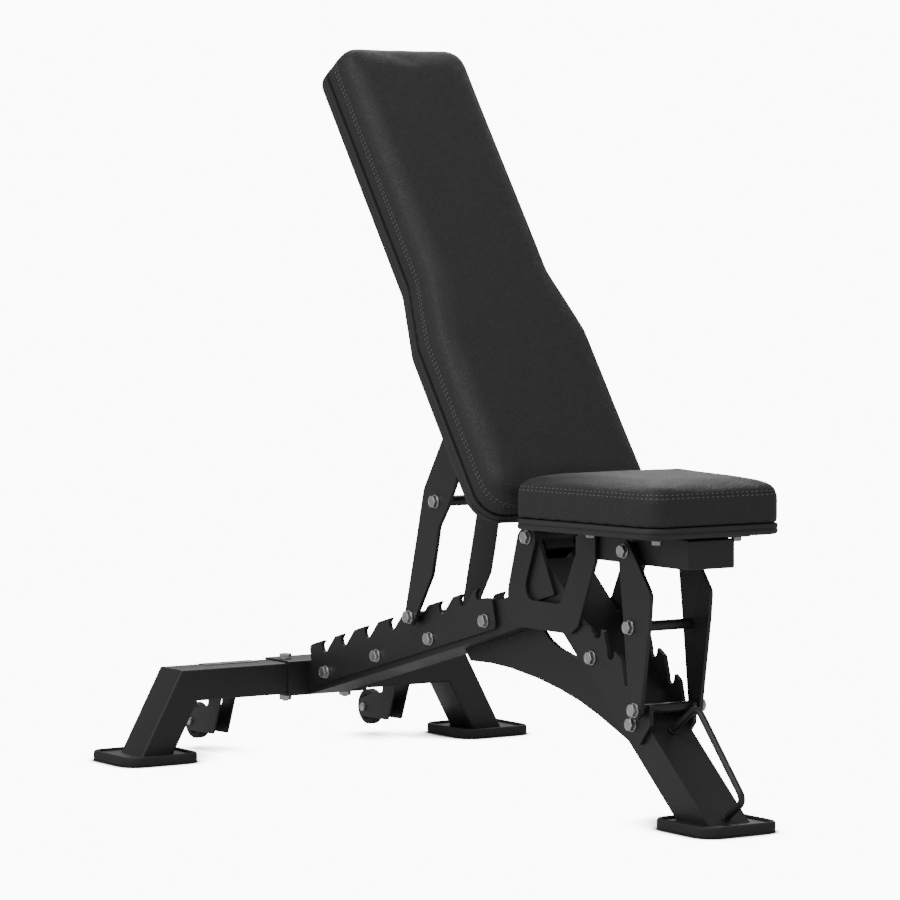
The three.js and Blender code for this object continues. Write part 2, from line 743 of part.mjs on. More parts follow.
function handle() {
  const r = HANDLE_D / 2;
  const out = (u, d) => {
    const [x, z] = legPoint(u, -d);
    return new THREE.Vector3(x, 0, z);
  };
  const feet = r / 2 + PLATE_GAP;
  const corners = [out(176, feet), out(158.8, 69.4), out(-2.2, 49), out(10, feet)];
  const bend = 16;
  const path = new THREE.CurvePath();
  let from = corners[0];
  for (let i = 1; i < corners.length - 1; i += 1) {
    const back = corners[i - 1].clone().sub(corners[i]).setLength(bend).add(corners[i]);
    const on = corners[i + 1].clone().sub(corners[i]).setLength(bend).add(corners[i]);
    path.add(new THREE.LineCurve3(from, back));
    path.add(new THREE.QuadraticBezierCurve3(back, corners[i], on));
    from = on;
  }
  path.add(new THREE.LineCurve3(from, corners[corners.length - 1]));
  const section = new THREE.Shape();
  section.absarc(0, 0, r, 0, Math.PI * 2, false);
  const g = new THREE.ExtrudeGeometry(section, { steps: 24, curveSegments: 5, extrudePath: path });
  add('carry_handle', toGeometry(toManifold(g)), 'coat');
}

// ---------------------------------------------------------------- pivots on the frame
function pivotBolts() {
  add('hinge_bolt', boltY(HINGE_X, HINGE_Z, -LAYER_2, LAYER_2), 'zinc');
  add('seat_pivot_pin', barY(SEAT_PIVOT_X, SEAT_PIVOT_Z, SEAT_PIN_D / 2, -LAYER_2, LAYER_2), 'rod');
}

// ---------------------------------------------------------------- backrest
// solid made lying flat (x along the backrest, y across, z towards the sitter), then tilted up
function tiltBack(geometry) {
  geometry.rotateZ(Math.PI);
  geometry.rotateY(rad(BACK_ANGLE));
  geometry.translate(HINGE_X, 0, HINGE_Z);
  return geometry;
}

function backOutline(inset) {
  const low = BACK_HALF_LOW - inset;
  const high = BACK_HALF_HIGH - inset;
  const half = [
    [BACK_BOTTOM + inset, low, BACK_LOW_CORNER - inset],
    [BACK_WAIST_LOW, low, 60],
    [BACK_WAIST_HIGH, high, 60],
    [BACK_TOP - inset, high, BACK_HIGH_CORNER - inset],
  ];
  const mirror = half.map(([s, y, r]) => [s, -y, r]).reverse();
  return rounded([...half, ...mirror].reverse(), 0, 5);
}

// closed solid through outlines that have the same number of points, one above the other
function loft(rings) {
  const n = rings[0].points.length;
  const position = rings.flatMap(({ points, z }) => points.flatMap((p) => [p.x, p.y, z]));
  const index = [];
  for (let k = 0; k < rings.length - 1; k += 1) {
    for (let i = 0; i < n; i += 1) {
      const a = k * n + i;
      const b = k * n + ((i + 1) % n);
      index.push(a, b, b + n, a, b + n, a + n);
    }
  }
  const last = (rings.length - 1) * n;
  for (const [a, b, c] of THREE.ShapeUtils.triangulateShape(rings[0].points, [])) index.push(c, b, a);
  for (const [a, b, c] of THREE.ShapeUtils.triangulateShape(rings[rings.length - 1].points, [])) {
    index.push(last + a, last + b, last + c);
  }
  const g = new THREE.BufferGeometry();
  g.setAttribute('position', new THREE.BufferAttribute(new Float32Array(position), 3));
  g.setIndex(index);
  return g;
}

// a soft pad: upright sides below, a rounded shoulder above; outlineAt gives its plan at an inset
function pad(outlineAt, base, thick) {
  const rings = [{ points: outlineAt(1), z: base }];
  for (let k = 0; k <= 3; k += 1) {
    const a = (k / 3) * (Math.PI / 2);
    rings.push({
      points: outlineAt(1 + PAD_SHOULDER * (1 - Math.cos(a))),
      z: base + thick - PAD_SHOULDER + PAD_SHOULDER * Math.sin(a),
    });
  }
  return toGeometry(toManifold(loft(rings)));
}

function backrest() {
  const half = BACK_TUBE_WIDTH / 2;
  const low = BACK_TUBE_N - BACK_TUBE_DEPTH;
  const bushHalf = SIDE - BUSH_PLAY;
  const strutBush = STRUT_GAP - BUSH_PLAY;
  const w = TUBE_WALL;
  const bushes = join(
    box(BACK_TUBE_START, BACK_TUBE_END, -half, half, low, BACK_TUBE_N),
    barY(0, 0, BUSH_D / 2, -bushHalf, bushHalf),
    barY(BACK_STRUT_S, BACK_STRUT_N, BUSH_D / 2, -strutBush, strutBush),
  );
  const bore = box(BACK_TUBE_START - 5, BACK_TUBE_END - w, -half + w, half - w, low + w, BACK_TUBE_N - w);
  const cores = join(
    barY(0, 0, BUSH_D / 2, -half, half),
    barY(BACK_STRUT_S, BACK_STRUT_N, BUSH_D / 2, -half, half),
    box(BACK_STRUT_S - 2, BACK_STRUT_S + 2, -half + 1, half - 1, low + 1, low + 2),
    box(0, BACK_STRUT_S, -half + w, half - w, low, low + w),
  );
  const hollow = toManifold(bore).subtract(toManifold(cores));
  const tube = toGeometry(toManifold(bushes).subtract(hollow));
  const drilled = cut(
    tube,
    barY(0, 0, holeR(BOLT_D), -60, 60),
    barY(BACK_STRUT_S, BACK_STRUT_N, holeR(BOLT_D), -60, 60),
  );
  add('backrest_tube', tiltBack(drilled), 'coat');

  BACK_STRIPS.forEach((s, i) => {
    const strip = plateXY(
      rounded(rectangle(s, 0, 40, 2 * (BACK_BOLT_Y + 16)), 6),
      BACK_TUBE_N + PLATE_GAP,
      BACK_BOARD_N,
    );
    const bolts = [-1, 1].map((sign) => padBolt(
      s,
      sign * BACK_BOLT_Y,
      BACK_TUBE_N + PLATE_GAP,
      BACK_BOARD_N,
    ));
    add(`backrest_strip_${i + 1}`, tiltBack(join(strip, ...bolts)), 'coat');
  });

  const boltHoles = [];
  for (const s of BACK_STRIPS) {
    for (const sign of [-1, 1]) boltHoles.push([s, sign * BACK_BOLT_Y, holeR(SMALL_BOLT_D)]);
  }
  const top = BACK_BOARD_N + BACK_BOARD;
  const board = plateXY(backOutline(0), BACK_BOARD_N + PLATE_GAP, top, boltHoles);
  add('backrest_board', tiltBack(board), 'plastic');
  add('backrest_pad', tiltBack(pad(backOutline, top + PLATE_GAP, BACK_PAD)), 'vinyl');
}

// pad bolt: hexagon head and washer below a strip, shank up into the board
function padBolt(x, y, stripBottom, boardBottom) {
  const g = boltGeometry(SMALL_BOLT_D, boardBottom - stripBottom + 12, false);
  g.translate(x, y, stripBottom);
  return g;
}

// ---------------------------------------------------------------- back strut
const rearRod = () => spinePoint(REAR_NOTCHES[REAR_LOCKED], NOTCH_T);
const backStrutTop = () => backPoint(BACK_STRUT_S, BACK_STRUT_N);
const BACK_STRUT_MID = [437, 421];

function backStrut() {
  const [tx, tz] = backStrutTop();
  const [rx, rz] = rearRod();
  const [mx, mz] = BACK_STRUT_MID;
  const outline = rounded([
    ...arc(rx, rz, 13.5, 165, 330, 7),
    [rx + 62, rz + 68, 14],
    [rx + 75, rz + 116, 20],
    [mx + 8, mz - 38, 16],
    [mx + 31, mz - 8, 30],
    [mx + 55, mz + 32, 14],
    [mx + 57, mz + 45, 14],
    ...arc(tx, tz, 17, -20, 152, 9),
    [mx - 33, mz + 17, 30],
    [mx - 54, mz - 62, 40],
  ]);
  const holes = [
    [rx, rz, holeR(BOLT_D)],
    [mx, mz, holeR(BOLT_D)],
    [tx, tz, holeR(BOLT_D)],
  ];
  const outer = STRUT_GAP + PLATE;
  for (const { name, sign } of sides) {
    add(`back_strut_plate_${name}`, plateXZ(outline, ...span(sign, STRUT_GAP, outer), holes), 'coat');
  }
  const rodHole = (x, z) => barY(x, z, holeR(BOLT_D), -60, 60);
  add('back_strut_rod', cut(barY(rx, rz, ROD_D / 2, -STRUT_GAP, STRUT_GAP), rodHole(rx, rz)), 'rod');
  add('back_strut_spacer', cut(barY(mx, mz, ROD_D / 2, -STRUT_GAP, STRUT_GAP), rodHole(mx, mz)), 'rod');
  add('back_strut_rod_bolt', boltY(rx, rz, -outer, outer), 'zinc');
  add('back_strut_spacer_bolt', boltY(mx, mz, -outer, outer), 'zinc');
  add('back_strut_pivot_bolt', boltY(tx, tz, -outer, outer), 'zinc');
}

// ---------------------------------------------------------------- seat
function seatOutline(inset) {
  const rear = SEAT_REAR_X + inset;
  const rearCorner = Math.max(SEAT_REAR_CORNER - inset, 2);
  const front = SEAT_FRONT_X - inset;
  const wide = SEAT_HALF_REAR - inset;
  const narrow = SEAT_HALF_FRONT - inset;
  return rounded([
    [rear, -wide, rearCorner],
    [front, -narrow, SEAT_FRONT_CORNER - inset],
    [front, narrow, SEAT_FRONT_CORNER - inset],
    [rear, wide, rearCorner],
  ], 0, 5);
}

function seat() {
  const half = SEAT_TUBE_WIDTH / 2;
  const w = TUBE_WALL;
  const end = SEAT_TUBE_FRONT - SEAT_CAP;
  const bushes = [
    barY(SEAT_PIVOT_X, SEAT_PIVOT_Z, SEAT_BUSH_D / 2, -half, half),
    barY(SEAT_STRUT_X, SEAT_STRUT_Z, BUSH_D / 2, -STRUT_GAP + BUSH_PLAY, STRUT_GAP - BUSH_PLAY),
  ];
  const shell = cut(
    box(SEAT_TUBE_REAR, end, -half, half, SEAT_TUBE_BOTTOM, SEAT_TUBE_TOP),
    box(SEAT_TUBE_REAR - 5, end + 5, -half + w, half - w, SEAT_TUBE_BOTTOM + w, SEAT_TUBE_TOP - w),
  );
  const tube = cut(
    join(shell, ...bushes),
    barY(SEAT_PIVOT_X, SEAT_PIVOT_Z, holeR(SEAT_PIN_D), -60, 60),
    barY(SEAT_STRUT_X, SEAT_STRUT_Z, holeR(BOLT_D), -60, 60),
  );
  add('seat_tube', tube, 'coat');
  add('seat_tube_cap', join(
    plateXZ(
      rounded([
        [end, SEAT_TUBE_BOTTOM],
        [SEAT_TUBE_FRONT, SEAT_TUBE_BOTTOM, 2],
        [SEAT_TUBE_FRONT, SEAT_TUBE_TOP, 2],
        [end, SEAT_TUBE_TOP],
      ]),
      -half,
      half,
    ),
    box(
      end - 12,
      end + 1,
      -half + w + PLATE_GAP,
      half - w - PLATE_GAP,
      SEAT_TUBE_BOTTOM + w + PLATE_GAP,
      SEAT_TUBE_TOP - w - PLATE_GAP,
    ),
  ), 'plastic');

  const boltHoles = [];
  SEAT_STRIPS_X.forEach((x, i) => {
    const strip = plateXY(
      rounded(rectangle(x, 0, 36, 2 * (SEAT_BOLT_Y + 14)), 6),
      SEAT_TUBE_TOP,
      SEAT_BOARD_Z,
    );
    const bolts = [-1, 1].map((sign) => padBolt(x, sign * SEAT_BOLT_Y, SEAT_TUBE_TOP, SEAT_BOARD_Z));
    for (const sign of [-1, 1]) boltHoles.push([x, sign * SEAT_BOLT_Y, holeR(SMALL_BOLT_D)]);
    add(`seat_strip_${i + 1}`, join(strip, ...bolts), 'coat');
  });
  const top = SEAT_BOARD_Z + SEAT_BOARD;
  add('seat_board', plateXY(seatOutline(0), SEAT_BOARD_Z, top, boltHoles), 'plastic');
  add('seat_pad', pad(seatOutline, top, SEAT_PAD), 'vinyl');
}

// ---------------------------------------------------------------- seat strut
const frontRod = () => FRONT_NOTCHES[FRONT_LOCKED];
const SEAT_STRUT_MID = [936, 273];

function seatStrut() {
  const [rx, rz] = frontRod();
  const [mx, mz] = SEAT_STRUT_MID;
  const [tx, tz] = [SEAT_STRUT_X, SEAT_STRUT_Z];
  const outline = rounded([
    ...arc(rx, rz, 14, 170, 368, 8),
    [mx + 45, mz + 10, 20],
    [mx + 49, mz + 50, 14],
    ...arc(tx, tz, 15, 45, 180, 7),
    [mx - 16, mz + 10, 60],
  ]);
  const holes = [
    [rx, rz, holeR(BOLT_D)],
    [mx, mz, holeR(BOLT_D)],
    [tx, tz, holeR(BOLT_D)],
  ];
  const outer = STRUT_GAP + PLATE;
  for (const { name, sign } of sides) {
    add(`seat_strut_plate_${name}`, plateXZ(outline, ...span(sign, STRUT_GAP, outer), holes), 'coat');
  }
  const rodHole = (x, z) => barY(x, z, holeR(BOLT_D), -60, 60);
  const r = SEAT_ROD_D / 2;
  add('seat_strut_rod', cut(barY(rx, rz, r, -STRUT_GAP, STRUT_GAP), rodHole(rx, rz)), 'rod');
  add('seat_strut_spacer', cut(barY(mx, mz, r, -STRUT_GAP, STRUT_GAP), rodHole(mx, mz)), 'rod');
  add('seat_strut_rod_bolt', boltY(rx, rz, -outer, outer), 'zinc');
  add('seat_strut_spacer_bolt', boltY(mx, mz, -outer, outer), 'zinc');
  add('seat_strut_pivot_bolt', boltY(tx, tz, -outer, outer), 'zinc');
}

bench.position.set(-FRAME_CENTRE_X, 0, TREAD);

crossbar();
rearLegs();
saddle();
wheels();
spine();
rearLadders();
frontLeg();
frontLadders();
uprights();
gussets();
archBrace();
handle();
pivotBolts();
backrest();
backStrut();
seat();
seatStrut();

export default bench;
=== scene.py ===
import json
import math

import bmesh
import bpy
from mathutils import Euler, Matrix, Vector, noise
from mathutils.bvhtree import BVHTree


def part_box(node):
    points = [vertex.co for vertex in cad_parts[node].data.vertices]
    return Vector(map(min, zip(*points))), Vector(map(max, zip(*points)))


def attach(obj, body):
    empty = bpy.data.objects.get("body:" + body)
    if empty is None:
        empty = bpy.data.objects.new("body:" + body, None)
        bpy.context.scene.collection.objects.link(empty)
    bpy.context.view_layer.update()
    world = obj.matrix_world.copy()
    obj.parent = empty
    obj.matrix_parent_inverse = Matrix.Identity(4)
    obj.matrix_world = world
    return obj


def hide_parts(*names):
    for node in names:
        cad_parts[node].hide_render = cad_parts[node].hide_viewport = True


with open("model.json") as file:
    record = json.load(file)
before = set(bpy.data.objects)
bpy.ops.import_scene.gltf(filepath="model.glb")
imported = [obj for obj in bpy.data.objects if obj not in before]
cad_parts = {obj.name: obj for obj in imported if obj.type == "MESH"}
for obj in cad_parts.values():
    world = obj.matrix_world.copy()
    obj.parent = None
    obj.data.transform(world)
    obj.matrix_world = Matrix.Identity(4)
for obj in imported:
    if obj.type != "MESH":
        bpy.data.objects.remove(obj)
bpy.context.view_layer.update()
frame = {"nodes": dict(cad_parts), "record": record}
nodes = frame["nodes"]
joints = {j["name"]: j for j in frame["record"]["behaviour"]["joints"]}
MM = 0.001
SIDES = (("right", -1), ("left", 1))

# ------------------------------------------------------------------ places taken from the frame
HINGE = Vector(joints["backrest_tilt"]["pos_m"])
BACK_ANGLE = math.radians(54.4)


def mid(node):
    lo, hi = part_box(node)
    return (Vector(lo) + Vector(hi)) / 2


def back_matrix():
    """x up along the backrest from the hinge, z square to it towards the sitter."""
    c, s = math.cos(BACK_ANGLE), math.sin(BACK_ANGLE)
    m = Matrix(((-c, 0, s, 0), (0, -1, 0, 0), (s, 0, c, 0), (0, 0, 0, 1)))
    return Matrix.Translation(HINGE) @ m


BACK = back_matrix()
SEAT_LO, SEAT_HI = (Vector(v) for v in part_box("seat_board"))
SEAT = Matrix.Translation((SEAT_LO.x, 0, SEAT_LO.z))


# ------------------------------------------------------------------ node helpers
def new_material(name):
    m = bpy.data.materials.new(name)
    m.use_nodes = True
    return m, m.node_tree.nodes, m.node_tree.links, m.node_tree.nodes["Principled BSDF"]


def node(ns, kind, **values):
    n = ns.new(kind)
    for key, value in values.items():
        if hasattr(n, key):
            setattr(n, key, value)
        else:
            n.inputs[key.replace("_", " ")].default_value = value
    return n


def ramp(ns, links, source, stops):
    r = ns.new("ShaderNodeValToRGB")
    e = r.color_ramp.elements
    while len(e) < len(stops):
        e.new(0.5)
    for k, (place, colour) in enumerate(stops):
        e[k].position = place
        e[k].color = (*colour, 1) if isinstance(colour, tuple) else (colour, colour, colour, 1)
    links.new(source, r.inputs["Fac"])
    return r.outputs["Color"]


def coat_material(name, low, high, rough_low, rough_high, grain=2200.0, depth=0.00012):
    """Textured powder coat: orange-peel grain and a faint cloudy tone."""
    m, ns, links, shader = new_material(name)
    place = ns.new("ShaderNodeTexCoord").outputs["Object"]
    cloud = node(ns, "ShaderNodeTexNoise", Scale=9.0, Detail=5.0, Roughness=0.6)
    fine = node(ns, "ShaderNodeTexNoise", Scale=grain, Detail=2.0, Roughness=0.55)
    peel = node(ns, "ShaderNodeTexNoise", Scale=grain / 6, Detail=2.0, Roughness=0.5)
    for n in (cloud, fine, peel):
        links.new(place, n.inputs["Vector"])
    links.new(ramp(ns, links, cloud.outputs["Fac"], [(0.35, low), (0.7, high)]), shader.inputs["Base Color"])
    links.new(
        ramp(ns, links, cloud.outputs["Fac"], [(0.3, rough_low), (0.75, rough_high)]),
        shader.inputs["Roughness"],
    )
    total = node(ns, "ShaderNodeMath", operation="MULTIPLY_ADD")
    total.inputs[1].default_value = 0.5
    links.new(fine.outputs["Fac"], total.inputs[0])
    links.new(peel.outputs["Fac"], total.inputs[2])
    bump = node(ns, "ShaderNodeBump", Strength=0.35, Distance=depth)
    links.new(total.outputs[0], bump.inputs["Height"])
    links.new(bump.outputs["Normal"], shader.inputs["Normal"])
    shader.inputs["Specular IOR Level"].default_value = 0.5
    return m


def metal_material(name, low, high, rough, streak=(60.0, 900.0, 60.0)):
    """Plated or blackened steel with fine turning marks."""
    m, ns, links, shader = new_material(name)
    place = ns.new("ShaderNodeTexCoord").outputs["Object"]
    scale = node(ns, "ShaderNodeMapping")
    scale.inputs["Scale"].default_value = streak
    links.new(place, scale.inputs["Vector"])
    marks = node(ns, "ShaderNodeTexNoise", Scale=1.0, Detail=4.0, Roughness=0.6)
    links.new(scale.outputs["Vector"], marks.inputs["Vector"])
    cloud = node(ns, "ShaderNodeTexNoise", Scale=70.0, Detail=3.0, Roughness=0.6)
    links.new(place, cloud.inputs["Vector"])
    links.new(ramp(ns, links, cloud.outputs["Fac"], [(0.3, low), (0.7, high)]), shader.inputs["Base Color"])
    links.new(
        ramp(ns, links, marks.outputs["Fac"], [(0.3, rough * 0.8), (0.7, min(1.0, rough * 1.35))]),
        shader.inputs["Roughness"],
    )
    bump = node(ns, "ShaderNodeBump", Strength=0.15, Distance=0.00005)
    links.new(marks.outputs["Fac"], bump.inputs["Height"])
    links.new(bump.outputs["Normal"], shader.inputs["Normal"])
    shader.inputs["Metallic"].default_value = 1.0
    return m


def vinyl_material(name, low, high):
    """Black leather-grain vinyl: pebbled cells with a drawn-out direction and painted shade in their
    grooves, over soft undulation.
    """
    m, ns, links, shader = new_material(name)
    place = ns.new("ShaderNodeTexCoord").outputs["Object"]
    turn = node(ns, "ShaderNodeMapping")
    turn.inputs["Rotation"].default_value = (0.4, 0.3, 0.7)
    turn.inputs["Scale"].default_value = (1.0, 0.62, 0.8)
    links.new(place, turn.inputs["Vector"])
    wander = node(ns, "ShaderNodeTexNoise", Scale=210.0, Detail=2.0, Roughness=0.5)
    links.new(turn.outputs["Vector"], wander.inputs["Vector"])
    push = node(ns, "ShaderNodeVectorMath", operation="MULTIPLY_ADD")
    push.inputs[1].default_value = (0.0024, 0.0024, 0.0024)
    links.new(wander.outputs["Color"], push.inputs[0])
    links.new(turn.outputs["Vector"], push.inputs[2])
    cells = node(ns, "ShaderNodeTexVoronoi", feature="DISTANCE_TO_EDGE", Scale=300.0)
    links.new(push.outputs["Vector"], cells.inputs["Vector"])
    height = ramp(ns, links, cells.outputs["Distance"], [(0.0, 0.0), (0.16, 0.75), (0.5, 1.0)])
    broad = node(ns, "ShaderNodeTexNoise", Scale=46.0, Detail=4.0, Roughness=0.62)
    links.new(place, broad.inputs["Vector"])
    total = node(ns, "ShaderNodeMath", operation="MULTIPLY_ADD")
    total.inputs[1].default_value = 0.12
    links.new(broad.outputs["Fac"], total.inputs[0])
    links.new(height, total.inputs[2])
    bump = node(ns, "ShaderNodeBump", Strength=0.8, Distance=0.0006)
    links.new(total.outputs[0], bump.inputs["Height"])
    links.new(bump.outputs["Normal"], shader.inputs["Normal"])
    # painted shade: the base colour follows the grain height and darkens down in the grooves between the
    # pebbles
    links.new(ramp(ns, links, height, [(0.0, low), (0.8, high)]), shader.inputs["Base Color"])
    links.new(ramp(ns, links, broad.outputs["Fac"], [(0.3, 0.53), (0.72, 0.57)]), shader.inputs["Roughness"])
    return m


def thread_material(name, low, high):
    m, ns, links, shader = new_material(name)
    place = ns.new("ShaderNodeTexCoord").outputs["Object"]
    twist = node(ns, "ShaderNodeTexNoise", Scale=3200.0, Detail=2.0, Roughness=0.6)
    links.new(place, twist.inputs["Vector"])
    links.new(ramp(ns, links, twist.outputs["Fac"], [(0.3, low), (0.7, high)]), shader.inputs["Base Color"])
    bump = node(ns, "ShaderNodeBump", Strength=0.5, Distance=0.0001)
    links.new(twist.outputs["Fac"], bump.inputs["Height"])
    links.new(bump.outputs["Normal"], shader.inputs["Normal"])
    shader.inputs["Roughness"].default_value = 0.7
    return m


COAT = coat_material("powder_coat", 0.0125, 0.0175, 0.42, 0.52)
ZINC = metal_material("zinc_plate", 0.42, 0.56, 0.33)
ROD = coat_material("rod_coat", 0.016, 0.024, 0.3, 0.4, grain=1900.0, depth=0.00006)
RUBBER = coat_material("rubber", 0.010, 0.016, 0.66, 0.8, grain=1300.0, depth=0.0002)
SHELL = coat_material("board_shell", 0.014, 0.018, 0.5, 0.58, grain=1600.0, depth=0.00008)
CAP = coat_material("moulded_cap", 0.013, 0.017, 0.48, 0.56, grain=2600.0, depth=0.00008)
VINYL = vinyl_material("vinyl", 0.009, 0.0135)
THREAD = thread_material("thread", (0.13, 0.13, 0.135), (0.22, 0.22, 0.225))
BADGE = metal_material("badge_plate", 0.2, 0.26, 0.34)
GAP = coat_material("shadow_gap", 0.002, 0.004, 0.8, 0.9)


# ------------------------------------------------------------------ mesh helpers
def finish_piece(obj, body, material, stands_for=(), smooth=35.0):
    obj.data.materials.clear()
    obj.data.materials.append(material)
    if smooth:
        obj.data.polygons.foreach_set("use_smooth", [True] * len(obj.data.polygons))
        obj.data.set_sharp_from_angle(angle=math.radians(smooth))
    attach(obj, body)
    if stands_for:
        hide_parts(*stands_for)
    return obj


def make(name, verts, faces, matrix=Matrix.Identity(4)):
    mesh = bpy.data.meshes.new(name)
    mesh.from_pydata([matrix @ Vector(v) for v in verts], [], faces)
    bm = bmesh.new()
    bm.from_mesh(mesh)
    bmesh.ops.remove_doubles(bm, verts=bm.verts, dist=1e-6)
    bmesh.ops.recalc_face_normals(bm, faces=bm.faces)
    bm.to_mesh(mesh)
    bm.free()
    obj = bpy.data.objects.new(name, mesh)
    bpy.context.scene.collection.objects.link(obj)
    return obj


def join_parts(parts):
    """One list of vertices and faces from several."""
    verts, faces = [], []
    for v, f in parts:
        base = len(verts)
        verts.extend(v)
        faces.extend([tuple(i + base for i in face) for face in f])
    return verts, faces


def moved(part, matrix):
    return [matrix @ Vector(v) for v in part[0]], part[1]


def loft(rings, caps=True):
    """Skin through closed rings that have the same number of points."""
    n = len(rings[0])
    verts = [v for ring in rings for v in ring]
    faces = []
    for k in range(len(rings) - 1):
        for i in range(n):
            j = (i + 1) % n
            faces.append((k * n + i, k * n + j, (k + 1) * n + j, (k + 1) * n + i))
    if caps:
        faces.append(tuple(reversed(range(n))))
        last = (len(rings) - 1) * n
        faces.append(tuple(last + i for i in range(n)))
    return verts, faces


def lathe(profile, steps=48, closed=False):
    """Turned round z; profile is (r, z) from one end of the axis to the other."""
    rings = []
    for r, z in profile:
        rings.append([(r * math.cos(2 * math.pi * k / steps), r * math.sin(2 * math.pi * k / steps), z)
                      for k in range(steps)])
    if closed:
        rings.append(rings[0])
    return loft(rings, caps=not closed)


def rounded(points, steps=8):
    """Polygon with rounded corners: points are (x, y, radius)."""
    out = []
    n = len(points)
    for i, (x, y, r) in enumerate(points):
        p = Vector((x, y))
        a = Vector(points[i - 1][:2]) - p
        b = Vector(points[(i + 1) % n][:2]) - p
        half = a.angle(b) / 2
        if r <= 0 or half > math.radians(89.5):
            out.append(p)
            continue
        reach = min(r / math.tan(half), 0.49 * a.length, 0.49 * b.length)
        used = reach * math.tan(half)
        centre = p + (a.normalized() + b.normalized()).normalized() * (used / math.sin(half))
        start = p + a.normalized() * reach - centre
        end = p + b.normalized() * reach - centre
        turn = math.atan2(start.x * end.y - start.y * end.x, start.dot(end))
        for k in range(steps + 1):
            t = turn * k / steps
            out.append(centre + Vector((
                start.x * math.cos(t) - start.y * math.sin(t),
                start.x * math.sin(t) + start.y * math.cos(t),
            )))
    return out


def evenly(points, pitch):
    """The same closed outline with points about pitch apart."""
    out = []
    for a, b in zip(points, points[1:] + points[:1]):
        parts = max(1, round((b - a).length / pitch))
        out.extend(a.lerp(b, k / parts) for k in range(parts))
    return out


def axis_y(node_name, at_low_y=True):
    """Matrix that stands a part made along +z on the -y end of a node, pointing along +y."""
    lo, hi = (Vector(v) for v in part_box(node_name))
    c = (lo + hi) / 2
    return Matrix.Translation((c.x, lo.y, c.z)) @ Euler((-math.pi / 2, 0, 0)).to_matrix().to_4x4()


# ------------------------------------------------------------------ fasteners
def hexagon(flats, height, steps=48):
    """Hexagon with the turned chamfer on its far face; bearing face at z = 0."""
    top_r = 0.94 * flats / 2
    low, rim, top = [], [], []
    for k in range(steps):
        a = 2 * math.pi * k / steps
        fold = (a % (math.pi / 3)) - math.pi / 6
        r = flats / 2 / math.cos(fold)
        drop = (r - top_r) * math.tan(math.radians(28))
        low.append((r * math.cos(a), r * math.sin(a), 0))
        rim.append((r * math.cos(a), r * math.sin(a), height - drop))
        top.append((top_r * math.cos(a), top_r * math.sin(a), height))
    inner = [(0.9 * x, 0.9 * y, height) for x, y, _ in top]
    dish = [(0.84 * x, 0.84 * y, height - 0.25) for x, y, _ in top]
    return loft([low, rim, top, inner, dish])


def washer(r, thick, bore):
    c = min(0.4, thick / 4)
    return lathe([(bore, 0), (r - c, 0), (r, c), (r, thick - c), (r - c, thick), (bore, thick)], closed=True)


def thread(r, z0, z1, pitch):
    """Ridged thread from z0 to z1."""
    profile = [(0.0001, z0)]
    z = z0
    while z + pitch <= z1 - 0.4:
        profile += [(r - 0.55, z), (r, z + pitch / 2)]
        z += pitch
    profile += [(r - 0.55, z), (r - 0.9, z1), (0.0001, z1)]
    return lathe(profile, 32)


# flats, head height, nut height, washer radius and thickness, thread pitch
FASTENER = {10: (17, 6.4, 8, 10.5, 2, 1.5), 8: (13, 5.3, 6.5, 8, 1.6, 1.25)}


def bolt_parts(d, grip, nut=True):
    """Bolt, washers and nut along +z; the head's outer face is at z = 0. Millimetres."""
    flats, head, nut_high, wr, wt, pitch = FASTENER[d]
    flip = Matrix.Translation((0, 0, head)) @ Euler((math.pi, 0, 0)).to_matrix().to_4x4()
    start = head + wt
    under_head = moved(washer(wr, wt, d / 2), Matrix.Translation((0, 0, head)))
    parts = [moved(hexagon(flats, head), flip), under_head]
    if nut:
        end = start + grip + wt
        parts.append(lathe([(0.0001, head - 1), (d / 2, head - 1), (d / 2, end), (0.0001, end)], 32))
        parts.append(moved(washer(wr, wt, d / 2), Matrix.Translation((0, 0, end - wt))))
        parts.append(moved(hexagon(flats, nut_high), Matrix.Translation((0, 0, end))))
        parts.append(thread(d / 2, end, end + nut_high + 2, pitch))
    return join_parts(parts)


def scaled(part):
    return [Vector(v) * MM for v in part[0]], part[1]


def bolt_piece(node_name, body, d):
    """Detailed fastener in place of a CAD bolt across the bench."""
    lo, hi = (Vector(v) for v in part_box(node_name))
    flats, head, nut_high, wr, wt, pitch = FASTENER[d]
    grip = (hi.y - lo.y) / MM - head - 2 * wt - nut_high - 2
    verts, faces = scaled(bolt_parts(d, grip))
    obj = make(f"{node_name}_detail", verts, faces, axis_y(node_name))
    return finish_piece(obj, body, ZINC, [node_name], smooth=24)


def fasteners():
    ladder_bolts = [f"rear_ladder_bolt_{i}" for i in (1, 2, 3, 4)]
    ladder_bolts += [f"front_ladder_bolt_{i}" for i in (1, 2)]
    for name in ladder_bolts:
        bolt_piece(name, "frame", 10)
    bolt_piece("hinge_bolt", "frame", 10)
    for which in ("back_strut", "seat_strut"):
        for part in ("pivot_bolt", "spacer_bolt", "rod_bolt"):
            bolt_piece(f"{which}_{part}", which, 10)
    flats, head, nut_high, wr, wt, pitch = FASTENER[10]
    for side, _ in SIDES:
        name = f"saddle_bolt_{side}"
        lo, hi = (Vector(v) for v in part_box(name))
        grip = (hi.z - lo.z) / MM - head - 2 * wt - nut_high - 2
        c = mid(name)
        turn = Matrix.Translation((c.x, c.y, hi.z)) @ Euler((math.pi, 0, 0)).to_matrix().to_4x4()
        verts, faces = scaled(bolt_parts(10, grip))
        finish_piece(make(f"{name}_detail", verts, faces, turn), "frame", ZINC, [name], smooth=24)


# ------------------------------------------------------------------ pads
BACK_BASE = 11.8                  # rear face of the backrest board, from the hinge line
BACK_TOP_OF_BOARD = 33.5


